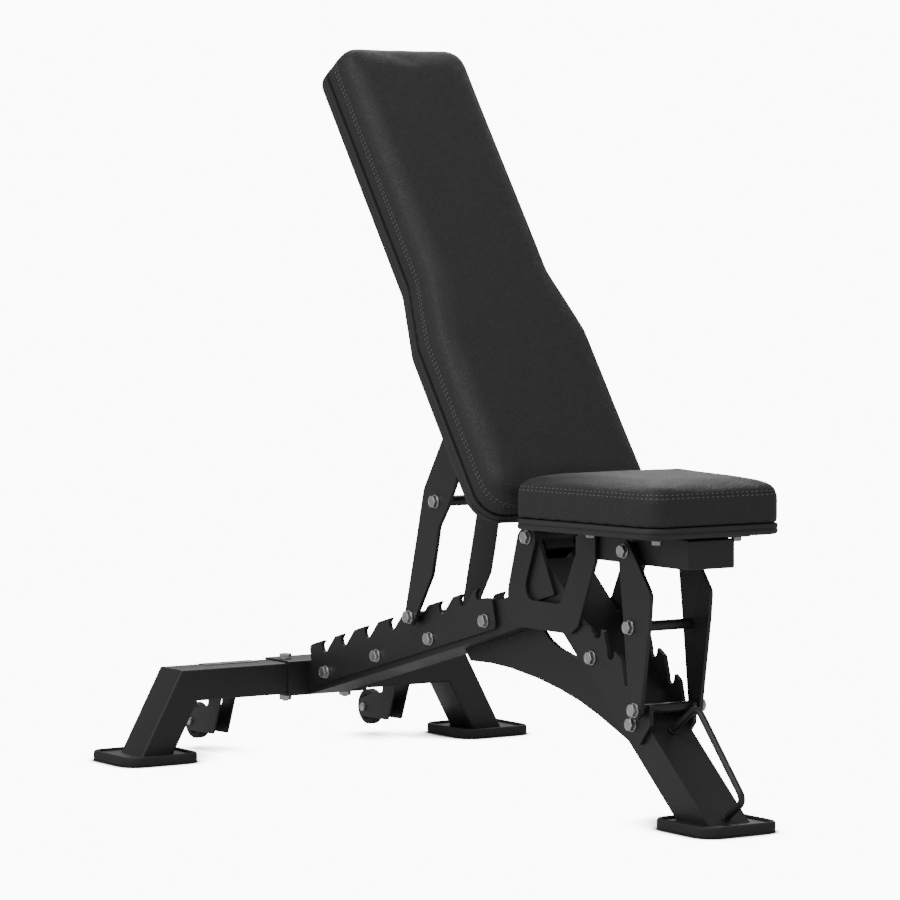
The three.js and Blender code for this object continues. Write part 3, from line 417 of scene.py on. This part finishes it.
def back_outline(inset, steps=10):
    low, high = 140 - inset, 115.5 - inset
    half = [
        (17 + inset, low, 42 - inset), (305, low, 60),
        (415, high, 60), (836 - inset, high, 34 - min(inset, 14)),
    ]
    return rounded(half + [(s, -y, r) for s, y, r in reversed(half)], steps)


def seat_outline(inset, steps=10):
    """x runs from the rear edge of the board."""
    rear, front = inset, 283 - inset
    wide, narrow = 152 - inset, 114 - inset
    corner = max(10 - inset, 3)
    return rounded([
        (rear, -wide, corner), (front, -narrow, 30 - min(inset, 12)),
        (front, narrow, 30 - min(inset, 12)), (rear, wide, corner),
    ], steps)


def board(name, outline, low, high, matrix, body, stands_for):
    """Moulded board: rolled lower edge, a parting groove half way and a small step under the pad."""
    thick = high - low
    middle = low + 0.52 * thick
    levels = [
        (6.0, low), (2.6, low + 0.5), (0.8, low + 2.0), (0.1, low + 4.2), (0.0, middle - 1.1),
        (0.9, middle - 0.7), (1.0, middle + 0.5), (0.2, middle + 0.9), (0.0, high - 1.6),
        (0.5, high - 0.9), (2.4, high - 0.75), (2.6, high - 0.1), (9.0, high - 0.1),
    ]
    rings = [[(p.x * MM, p.y * MM, z * MM) for p in outline(inset)] for inset, z in levels]
    verts, faces = loft(rings)
    obj = make(name, verts, faces, matrix)
    return finish_piece(obj, body, SHELL, stands_for, smooth=42)


def cushion(name, outline, base, levels, plateau, matrix, pressure, cap, voxel):
    """Crowned pad: lofted foam shape, blown up as cloth with its sides and base held."""
    rings = []
    for inset, height in levels:
        rings.append([(p.x * MM, p.y * MM, (base + height) * MM) for p in outline(inset)])
    n = len(rings[0])
    verts, faces = loft(rings)
    faces = faces[:-1]
    # a crown of shrinking rings closes the top, so that it has no long thin faces
    centre = sum((Vector(v) for v in rings[-1]), Vector()) / n
    ring = [Vector(v) for v in rings[-1]]
    start = len(verts) - n
    for k in range(1, 7):
        t = k / 7
        rise = Vector((0, 0, plateau * MM * math.sin(t * math.pi / 2)))
        verts.extend([p.lerp(centre, t) + rise for p in ring])
        now = start + n
        faces.extend((start + i, start + (i + 1) % n, now + (i + 1) % n, now + i) for i in range(n))
        start = now
    faces.append(tuple(start + i for i in range(n)))
    obj = make(name, verts, faces)
    top = max(v.co.z for v in obj.data.vertices)

    bpy.context.view_layer.objects.active = obj
    remesh = obj.modifiers.new("remesh", "REMESH")
    remesh.mode = "VOXEL"
    remesh.voxel_size = voxel
    remesh.use_smooth_shade = True
    bpy.ops.object.modifier_apply(modifier=remesh.name)
    smooth = obj.modifiers.new("smooth", "LAPLACIANSMOOTH")
    smooth.iterations = 2
    smooth.lambda_factor = 0.4
    bpy.ops.object.modifier_apply(modifier=smooth.name)

    before = [v.co.copy() for v in obj.data.vertices]
    held = obj.vertex_groups.new(name="held")
    seam = levels[3][1] + base
    for v in obj.data.vertices:
        h = v.co.z / MM
        weight = 1.0 - min(1.0, max(0.0, (h - seam + 6) / 9))
        held.add([v.index], weight, "REPLACE")
    cloth = obj.modifiers.new("cloth", "CLOTH")
    settings = cloth.settings
    settings.quality = 5
    settings.mass = 0.4
    settings.tension_stiffness = 30
    settings.compression_stiffness = 30
    settings.shear_stiffness = 12
    settings.bending_stiffness = 2.5
    settings.use_pressure = True
    settings.uniform_pressure_force = pressure
    settings.vertex_group_mass = "held"
    settings.effector_weights.gravity = 0
    cloth.collision_settings.use_collision = False
    cloth.point_cache.frame_start = 1
    cloth.point_cache.frame_end = 20
    for f in range(1, 21):
        bpy.context.scene.frame_set(f)
    bpy.ops.object.modifier_apply(modifier=cloth.name)
    bpy.context.scene.frame_set(1)
    for v, old in zip(obj.data.vertices, before):
        step = v.co - old
        if step.length > cap * MM:
            v.co = old + step.normalized() * cap * MM
    even = obj.modifiers.new("even", "SMOOTH")
    even.factor = 0.5
    even.iterations = 10
    even.vertex_group = "held"
    even.invert_vertex_group = True
    bpy.ops.object.modifier_apply(modifier=even.name)

    divide = obj.modifiers.new("divide", "SUBSURF")
    divide.levels = 1
    divide.render_levels = 1
    bpy.ops.object.modifier_apply(modifier=divide.name)
    return obj, top


def surface_row(tree, outline, height, pitch):
    """Points and normals where a level line meets the pad, pitch apart. Millimetres in, metres out."""
    path = evenly(outline(0), 1.0)
    lengths = [0.0]
    for a, b in zip(path, path[1:] + path[:1]):
        lengths.append(lengths[-1] + (b - a).length)
    count = max(3, round(lengths[-1] / pitch))
    out = []
    k = 0
    middle = sum(path, Vector((0, 0))) / len(path)
    for i in range(count):
        want = lengths[-1] * i / count
        while lengths[k + 1] < want:
            k += 1
        p = path[k % len(path)]
        a, b = path[(k - 2) % len(path)], path[(k + 3) % len(path)]
        along = (b - a).normalized()
        out2 = Vector((along.y, -along.x))
        if out2.dot(p - middle) < 0:
            out2 = -out2
        origin = Vector(((p.x + 30 * out2.x) * MM, (p.y + 30 * out2.y) * MM, height * MM))
        hit, normal, _, _ = tree.ray_cast(origin, Vector((-out2.x, -out2.y, 0)), 0.09)
        if hit is not None:
            out.append((hit, normal, Vector((along.x, along.y, 0))))
    return out


def stitch_shape(length, r, steps=8):
    """One raised stitch along x, its ends diving into the cover."""
    rings = []
    for t in (-0.5, -0.42, -0.25, 0.0, 0.25, 0.42, 0.5):
        size = r * math.sqrt(max(0.05, 1 - (2 * t) ** 4))
        sink = -0.9 * r * (2 * abs(t)) ** 3
        turns = [2 * math.pi * k / steps for k in range(steps)]
        rings.append([(t * length, size * math.cos(a), sink + size * math.sin(a)) for a in turns])
    return loft(rings)


def stitches(name, tree, outline, rows, pitch, matrix, body):
    parts = []
    shape = stitch_shape(3.9 * MM, 0.5 * MM)
    for height in rows:
        for hit, normal, along in surface_row(tree, outline, height, pitch):
            x = (along - normal * along.dot(normal)).normalized()
            y = normal.cross(x)
            m = Matrix((
                (x.x, y.x, normal.x, hit.x + normal.x * 0.0001),
                (x.y, y.y, normal.y, hit.y + normal.y * 0.0001),
                (x.z, y.z, normal.z, hit.z + normal.z * 0.0001),
                (0, 0, 0, 1),
            ))
            parts.append(moved(shape, m))
    verts, faces = join_parts(parts)
    obj = make(name, verts, faces, matrix)
    return finish_piece(obj, body, THREAD, smooth=80)


def crease(obj, heights, depth, width):
    """Draws the cover in along level lines on its sides."""
    for v in obj.data.vertices:
        h = v.co.z / MM
        for line in heights:
            d = (h - line) / width
            if abs(d) < 3 and abs(v.normal.z) < 0.9:
                v.co -= Vector((v.normal.x, v.normal.y, 0.3 * v.normal.z)) * depth * MM * math.exp(-d * d)


def pads():
    # backrest
    board(
        "backrest_shell", back_outline, BACK_BASE, BACK_TOP_OF_BOARD, BACK, "backrest", ["backrest_board"],
    )
    base = BACK_TOP_OF_BOARD + 0.3
    levels = [
        (3.0, 0.0), (1.2, 1.2), (0.9, 4.0), (0.9, 30.0), (1.4, 38.0), (3.0, 46.0),
        (6.5, 52.5), (13.0, 57.5), (24.0, 60.0), (38.0, 60.8),
    ]
    pad, _ = cushion("backrest_cushion", back_outline, base, levels, 0.6, BACK, 1.2, 2.0, 0.005)
    dress(pad, "backrest_stitching", back_outline, base, (24.5, 30.0), BACK, "backrest", "backrest_pad", 7.6)

    # seat
    low = SEAT_LO.z
    board("seat_shell", seat_outline, 0.0, 16.0, SEAT, "seat", ["seat_board"])
    levels = [
        (3.0, 0.0), (1.2, 1.2), (0.9, 4.0), (0.9, 40.5), (1.8, 45.0), (5.5, 51.0),
        (11.0, 55.5), (18.0, 59.0), (28.0, 61.6), (40.0, 62.6),
    ]
    pad, _ = cushion("seat_cushion", seat_outline, 16.0, levels, 0.8, SEAT, 1.4, 2.5, 0.0045)
    dress(pad, "seat_stitching", seat_outline, 16.0, (41.0, 46.0), SEAT, "seat", "seat_pad", 8.6)


def dress(pad, thread_name, outline, base, rows, matrix, body, cad_node, pitch):
    rows = [base + r for r in rows]
    crease(pad, [sum(rows) / 2], 0.7, 1.9)
    bm = bmesh.new()
    bm.from_mesh(pad.data)
    tree = BVHTree.FromBMesh(bm)
    bm.free()
    stitches(thread_name, tree, outline, rows, pitch, matrix, body)
    pad.data.transform(matrix)
    finish_piece(pad, body, VINYL, [cad_node], smooth=0)
    pad.data.polygons.foreach_set("use_smooth", [True] * len(pad.data.polygons))


# ------------------------------------------------------------------ feet
def foot(name, node_name):
    """Rubber shoe: ribbed skirt, rounded rim and a tray that takes the sole plate."""
    lo, hi = (Vector(v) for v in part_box(node_name))
    c = (lo + hi) / 2
    lx, ly = (hi.x - lo.x) / MM, (hi.y - lo.y) / MM

    def outline(inset, ribs=0.0):
        x, y = lx / 2 - inset, ly / 2 - inset
        r = max(3.0, 26 - inset)
        points = evenly(rounded([(-x, -y, r), (x, -y, r), (x, y, r), (-x, y, r)], 10), 1.15)
        if ribs:
            pulled = []
            for k, p in enumerate(points):
                q = p * (1 - (ribs if k % 4 < 2 else 0.0) / p.length)
                pulled.append(q)
            points = pulled
        return points

    count = len(outline(0))

    def fit(points):
        """The outline resampled to the outer edge's number of points."""
        total = [0.0]
        for a, b in zip(points, points[1:] + points[:1]):
            total.append(total[-1] + (b - a).length)
        out, k = [], 0
        for i in range(count):
            want = total[-1] * i / count
            while total[k + 1] < want:
                k += 1
            a, b = points[k], points[(k + 1) % len(points)]
            t = (want - total[k]) / max(1e-9, total[k + 1] - total[k])
            out.append(a.lerp(b, t))
        return out

    plain = [
        (0.3, 3.6), (0.0, 4.4), (0.0, 12.4), (0.5, 14.4), (1.6, 15.6), (2.8, 16.0),
        (5.4, 16.0), (6.9, 15.5), (7.8, 14.2), (8.0, 12.6), (8.0, 6.0),
    ]
    rings = []
    for ribs, z in ((2.2, 0.0), (2.0, 0.4), (1.6, 2.6)):
        rings.append([(p.x, p.y, z) for p in outline(0, ribs)])
    for inset, z in plain:
        rings.append([(p.x, p.y, z) for p in fit(outline(inset))])
    verts, faces = scaled(loft(rings))
    obj = make(name, verts, faces, Matrix.Translation((c.x, c.y, 0)))
    return finish_piece(obj, "frame", RUBBER, [node_name], smooth=40)


# ------------------------------------------------------------------ round pieces
def rod_piece(node_name, body):
    lo, hi = (Vector(v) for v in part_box(node_name))
    r = (hi.z - lo.z) / 2 / MM
    length = (hi.y - lo.y) / MM
    bore, edge = 5.4, 0.8
    profile = [
        (bore, 0), (r - edge, 0), (r, edge), (r, length - edge), (r - edge, length), (bore, length),
    ]
    verts, faces = scaled(lathe(profile, 56, closed=True))
    obj = make(f"{node_name}_detail", verts, faces, axis_y(node_name))
    return finish_piece(obj, body, ROD, [node_name], smooth=30)


def wheel_piece(side):
    """Transport wheel: grooved tyre, recessed disc and a raised hub."""
    name = f"wheel_{side}"
    lo, hi = (Vector(v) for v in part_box(name))
    r, w = (hi.z - lo.z) / 2 / MM, (hi.y - lo.y) / MM
    bore = 4.4
    half = [
        (bore, 0.0), (8.5, 0.0), (10.6, 0.3), (11.2, 1.2), (12.0, 3.0), (19.0, 3.4), (20.4, 1.4),
        (21.4, 1.0), (r - 3.2, 1.0), (r - 1.2, 1.7), (r - 0.2, 3.2), (r, 5.2),
        (r, w / 2 - 0.9), (r - 0.8, w / 2 - 0.5),
    ]
    profile = half + [(x, w - z) for x, z in reversed(half)]
    verts, faces = scaled(lathe(profile, 72, closed=True))
    obj = make(f"{name}_detail", verts, faces, axis_y(name))
    obj = finish_piece(obj, name, RUBBER, [name], smooth=28)
    ribs = []
    for side_z in (1.6, w - 3.6):
        for k in range(6):
            turn = Matrix.Rotation(k * math.pi / 3, 4, "Z")
            bar = [(11.3, -1.3), (20.2, -1.6), (20.2, 1.6), (11.3, 1.3)]
            low, high = side_z, side_z + 2.0
            rings = [[(x, y, low) for x, y in bar], [(x, y, high) for x, y in bar]]
            ribs.append(moved(loft(rings), turn))
    verts, faces = scaled(join_parts(ribs))
    spokes = make(f"{name}_spokes", verts, faces, axis_y(name))
    finish_piece(spokes, name, RUBBER, smooth=30)
    axle = f"wheel_axle_{side}"
    lo, hi = (Vector(v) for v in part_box(axle))
    length = (hi.y - lo.y) / MM
    parts = [
        lathe([(0.0001, 0), (3, 0), (6.6, 1.2), (7.3, 3.4), (7.3, 5), (0.0001, 5)], 40),
        lathe([(0.0001, 3), (4, 3), (4, length - 0.8), (3.2, length), (0.0001, length)], 32),
        moved(hexagon(13, 4.6), Matrix.Translation((0, 0, length - 6))),
    ]
    verts, faces = scaled(join_parts(parts))
    finish_piece(make(f"{axle}_detail", verts, faces, axis_y(axle)), "frame", ZINC, [axle], smooth=26)


def handle_piece():
    """Bent round bar welded to the front of the leg."""
    a = math.radians(40.76)
    sole = 7 * MM
    toe = Vector((mid("front_foot").x + 25 * MM / math.sin(a) - sole / math.tan(a), 0, 13 * MM))

    def out(u, d):
        return toe + Vector((-u * math.cos(a) + d * math.sin(a), 0, u * math.sin(a) + d * math.cos(a))) * MM

    corners = [out(176, 2.2), out(158.8, 69.4), out(-2.2, 49), out(10, 2.2)]
    bend = 16 * MM
    path = [corners[0]]
    for k in (1, 2):
        p = corners[k]
        b0 = p + (corners[k - 1] - p).normalized() * bend
        b1 = p + (corners[k + 1] - p).normalized() * bend
        for i in range(13):
            t = i / 12
            path.append(b0 * (1 - t) ** 2 + p * 2 * t * (1 - t) + b1 * t * t)
    path.append(corners[3])
    r = 5 * MM
    rings = []
    for k, p in enumerate(path):
        d = (path[min(k + 1, len(path) - 1)] - path[max(k - 1, 0)]).normalized()
        side = Vector((0, 1, 0))
        up = d.cross(side).normalized()
        rings.append([
            tuple(p + side * r * math.cos(2 * math.pi * i / 28) + up * r * math.sin(2 * math.pi * i / 28))
            for i in range(28)
        ])
    verts, faces = loft(rings)
    bar = make("carry_handle_bar", verts, faces)
    finish_piece(bar, "frame", COAT, ["carry_handle"], smooth=50)
    beads = []
    for p, q in ((path[0], path[1]), (path[-1], path[-2])):
        beads.append(weld_ring(p + (q - p).normalized() * 1.5 * MM, (q - p).normalized(), 5.4 * MM))
    verts, faces = join_parts(beads)
    finish_piece(make("carry_handle_welds", verts, faces), "frame", COAT, smooth=60)


def weld_ring(centre, axis, r):
    side = axis.orthogonal().normalized()
    up = axis.cross(side)
    points = [centre + side * r * math.cos(2 * math.pi * k / 40) + up * r * math.sin(2 * math.pi * k / 40)
              for k in range(41)]
    return bead(points, 1.5 * MM)


def bead(points, r, pitch=2.4 * MM):
    """Weld bead: overlapping ripples along a line."""
    path = []
    for a, b in zip(points, points[1:]):
        n = max(1, int((b - a).length / (0.6 * MM)))
        path.extend(a.lerp(b, k / n) for k in range(n))
    path.append(points[-1])
    rings, along = [], 0.0
    for k, p in enumerate(path):
        if k:
            along += (p - path[k - 1]).length
        d = (path[min(k + 1, len(path) - 1)] - path[max(k - 1, 0)]).normalized()
        side = d.orthogonal().normalized()
        up = d.cross(side)
        size = r * (0.82 + 0.18 * abs(math.sin(math.pi * along / pitch)) + 0.05 * noise.noise(p * 300))
        turns = [2 * math.pi * i / 10 for i in range(10)]
        rings.append([tuple(p + side * size * math.cos(t) + up * size * math.sin(t)) for t in turns])
    return loft(rings)


# ------------------------------------------------------------------ strips under the boards
def strip_piece(node_name, body, matrix, x, half_x, y_bolt, y_over, low, high):
    """Cross strip with the two pad bolts that come up through it. Millimetres in the pad's own frame."""
    outline = rounded([
        (x - half_x, -y_bolt - y_over, 6), (x + half_x, -y_bolt - y_over, 6),
        (x + half_x, y_bolt + y_over, 6), (x - half_x, y_bolt + y_over, 6),
    ], 8)

    def ring(inset, z):
        c = Vector((x, 0))
        return [(*(c + (p - c) * (1 - inset / (p - c).length)), z) for p in outline]

    verts, faces = scaled(loft([ring(0.6, low), ring(0, low + 0.6), ring(0, high - 0.3), ring(0.3, high)]))
    obj = make(f"{node_name}_plate", verts, faces, matrix)
    finish_piece(obj, body, COAT, [node_name], smooth=40)
    flats, head, nut_high, wr, wt, pitch = FASTENER[8]
    parts = [moved(bolt_parts(8, 0, nut=False), Matrix.Translation((x, sign * y_bolt, low - head - wt)))
             for sign in (-1, 1)]
    verts, faces = scaled(join_parts(parts))
    finish_piece(make(f"{node_name}_bolts", verts, faces, matrix), body, ZINC, smooth=24)


def strips():
    for k, s in ((1, 120), (2, 620)):
        strip_piece(f"backrest_strip_{k}", "backrest", BACK, s, 20, 78, 16, 7.8, 11.5)
    for k in (1, 2):
        x = (mid(f"seat_strip_{k}").x - SEAT_LO.x) / MM
        strip_piece(f"seat_strip_{k}", "seat", SEAT, x, 18, 69, 14, -4.0, 0.0)


# ------------------------------------------------------------------ CAD pieces that keep their shape
def dress_cad():
    wide = {
        "crossbar": 2.2, "rear_leg_right": 2.2, "rear_leg_left": 2.2, "spine": 2.2, "front_leg": 2.2,
        "backrest_tube": 2.0, "seat_tube": 2.0, "saddle": 0.8, "seat_tube_cap": 0.8,
    }
    for name, obj in nodes.items():
        if obj.hide_render:
            continue
        obj.data.materials.clear()
        obj.data.materials.append(CAP if name == "seat_tube_cap" else COAT)
        bevel = obj.modifiers.new("edges", "BEVEL")
        bevel.limit_method = "ANGLE"
        bevel.angle_limit = math.radians(38)
        bevel.width = wide.get(name, 0.6) * MM
        bevel.segments = 3 if name in wide else 2
        bevel.use_clamp_overlap = True
        bevel.miter_outer = "MITER_ARC"
        bevel.harden_normals = False


def badge():
    """Blank plate on the crossbar, with a raised rim."""
    lo, hi = (Vector(v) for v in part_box("crossbar"))
    x, y = mid("crossbar").x - 19 * MM, -150.5 * MM

    def ring(inset, z):
        return [(p.x, p.y, z) for p in rounded([
            (-13 + inset, -48 + inset, 3), (13 - inset, -48 + inset, 3),
            (13 - inset, 48 - inset, 3), (-13 + inset, 48 - inset, 3),
        ], 6)]

    steps = [(0, 0.1), (0, 0.7), (0.3, 1.0), (1.2, 1.0), (1.5, 0.7), (4, 0.7)]
    verts, faces = scaled(loft([ring(inset, z) for inset, z in steps]))
    obj = make("blank_badge", verts, faces, Matrix.Translation((x, y, hi.z)))
    finish_piece(obj, "frame", BADGE, smooth=35)


# ------------------------------------------------------------------ rear stand
SPLAY = math.radians(28.7)


def section(x_half, low, high, r):
    """Rounded tube section as (x, height) points."""
    corners = [(-x_half, low, r), (x_half, low, r), (x_half, high, r), (-x_half, high, r)]
    return [(p.x, p.y) for p in rounded(corners, 5)]


def rear_stand():
    """Crossbar and both splayed legs as one bent tube, with the sole plates welded under it."""
    lo, hi = (Vector(v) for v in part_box("crossbar"))
    x = mid("crossbar").x / MM
    top, depth = hi.z / MM, (hi.z - lo.z) / MM
    half_top = hi.y / MM + 0.3
    sole_top = 12.0
    tube = section((hi.x - lo.x) / 2 / MM, top - depth, top, 4.0)
    lean = math.tan((math.pi / 2 - SPLAY) / 2)
    rings = []
    for sign in (-1, 1):
        foot_ring, bend_ring = [], []
        for px, pz in tube:
            inward = top - pz
            across = inward / math.cos(SPLAY)
            bend_ring.append((x + px, sign * (half_top - inward * lean), pz))
            outer = half_top + (top - sole_top + 2) * math.tan(SPLAY)
            foot_ring.append((x + px, sign * (outer - across), sole_top - 2))
        rings += [foot_ring, bend_ring] if sign < 0 else [bend_ring, foot_ring]
    verts, faces = scaled(loft(rings))
    obj = make("rear_stand", verts, faces)
    finish_piece(obj, "frame", COAT, ["crossbar", "rear_leg_right", "rear_leg_left"], smooth=24)
    for side, _ in SIDES:
        c = mid(f"rear_foot_{side}") / MM

        def ring(inset, z):
            h = 58.0 - inset
            r = 17.5 - inset
            return [(p.x, p.y, z) for p in rounded([(-h, -h, r), (h, -h, r), (h, h, r), (-h, h, r)], 8)]

        verts, faces = scaled(loft([ring(0, 6.1), ring(0, sole_top - 0.7), ring(0.7, sole_top)]))
        plate = make(f"rear_sole_{side}", verts, faces, Matrix.Translation((c.x * MM, c.y * MM, 0)))
        finish_piece(plate, "frame", COAT, smooth=35)


# ------------------------------------------------------------------ stage, light and camera
BACKDROP = 11.0                   # brightness of the backdrop as seen


def stage():
    """White floor and backdrop: seen from the camera the floor glows as bright as the backdrop, with a
    painted contact shadow from ambient occlusion close to what stands on it.
    """
    mesh = bpy.data.meshes.new("floor")
    bm = bmesh.new()
    bmesh.ops.create_circle(bm, cap_ends=True, radius=9.0, segments=96)
    bm.to_mesh(mesh)
    bm.free()
    floor = bpy.data.objects.new("floor", mesh)
    bpy.context.scene.collection.objects.link(floor)
    m, ns, links, shader = new_material("floor")
    shader.inputs["Base Color"].default_value = (0.7, 0.7, 0.7, 1)
    shader.inputs["Roughness"].default_value = 0.8
    # painted contact shadow: ambient occlusion dims the floor's glow near the feet and legs
    painted_floor_shade = node(ns, "ShaderNodeAmbientOcclusion", samples=24, Distance=0.09)
    bright = node(ns, "ShaderNodeMapRange", interpolation_type="SMOOTHSTEP")
    bright.inputs["From Min"].default_value = 0.55
    bright.inputs["From Max"].default_value = 0.97
    bright.inputs["To Min"].default_value = 0.15
    bright.inputs["To Max"].default_value = BACKDROP
    links.new(painted_floor_shade.outputs["AO"], bright.inputs["Value"])
    glow = ns.new("ShaderNodeEmission")
    links.new(bright.outputs["Result"], glow.inputs["Strength"])
    seen = ns.new("ShaderNodeLightPath")
    mix = ns.new("ShaderNodeMixShader")
    links.new(seen.outputs["Is Camera Ray"], mix.inputs["Fac"])
    links.new(shader.outputs["BSDF"], mix.inputs[1])
    links.new(glow.outputs["Emission"], mix.inputs[2])
    links.new(mix.outputs["Shader"], ns["Material Output"].inputs["Surface"])
    mesh.materials.append(m)

    world = bpy.data.worlds.new("studio")
    bpy.context.scene.world = world
    world.use_nodes = True
    ns, links = world.node_tree.nodes, world.node_tree.links
    back = ns["Background"]
    back.inputs["Color"].default_value = (1, 1, 1, 1)
    seen = ns.new("ShaderNodeLightPath")
    dim = node(ns, "ShaderNodeMapRange")
    dim.inputs["To Min"].default_value = 0.35
    dim.inputs["To Max"].default_value = BACKDROP
    links.new(seen.outputs["Is Camera Ray"], dim.inputs["Value"])
    links.new(dim.outputs["Result"], back.inputs["Strength"])


def area(name, place, aim, size, power):
    light = bpy.data.lights.new(name, "AREA")
    light.shape = "RECTANGLE"
    light.size, light.size_y = size
    light.energy = power
    obj = bpy.data.objects.new(name, light)
    obj.location = place
    obj.rotation_mode = "QUATERNION"
    obj.rotation_quaternion = (Vector(aim) - Vector(place)).to_track_quat("-Z", "Y")
    bpy.context.scene.collection.objects.link(obj)


def camera():
    data = bpy.data.cameras.new("camera")
    data.lens = 162.7
    data.sensor_width = 36
    obj = bpy.data.objects.new("camera", data)
    bar = Vector(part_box("crossbar")[1])
    obj.location = (mid("crossbar").x + 5.5531, -3.4061, bar.z + 0.7177)
    obj.rotation_euler = (math.radians(86.64), 0, math.radians(56.57))
    bpy.context.scene.collection.objects.link(obj)
    bpy.context.scene.camera = obj


camera()
stage()
area("key", (0.9, -1.6, 3.4), (0.0, 0.0, 0.5), (2.2, 2.2), 70)
area("side", (-0.4, -3.4, 1.5), (0.0, 0.0, 0.5), (2.4, 1.6), 26)
area("fill", (3.6, 0.6, 1.4), (0.1, 0.0, 0.5), (2.0, 2.0), 9)
area("rim", (-2.2, 1.6, 2.6), (0.0, 0.0, 0.5), (2.0, 2.0), 45)
fasteners()
pads()
for which in ("front_foot", "rear_foot_right", "rear_foot_left"):
    foot(f"{which}_shoe", which)
for which in ("back_strut", "seat_strut"):
    rod_piece(f"{which}_rod", which)
    rod_piece(f"{which}_spacer", which)
for side, _ in SIDES:
    wheel_piece(side)
handle_piece()
strips()
badge()
rear_stand()
dress_cad()
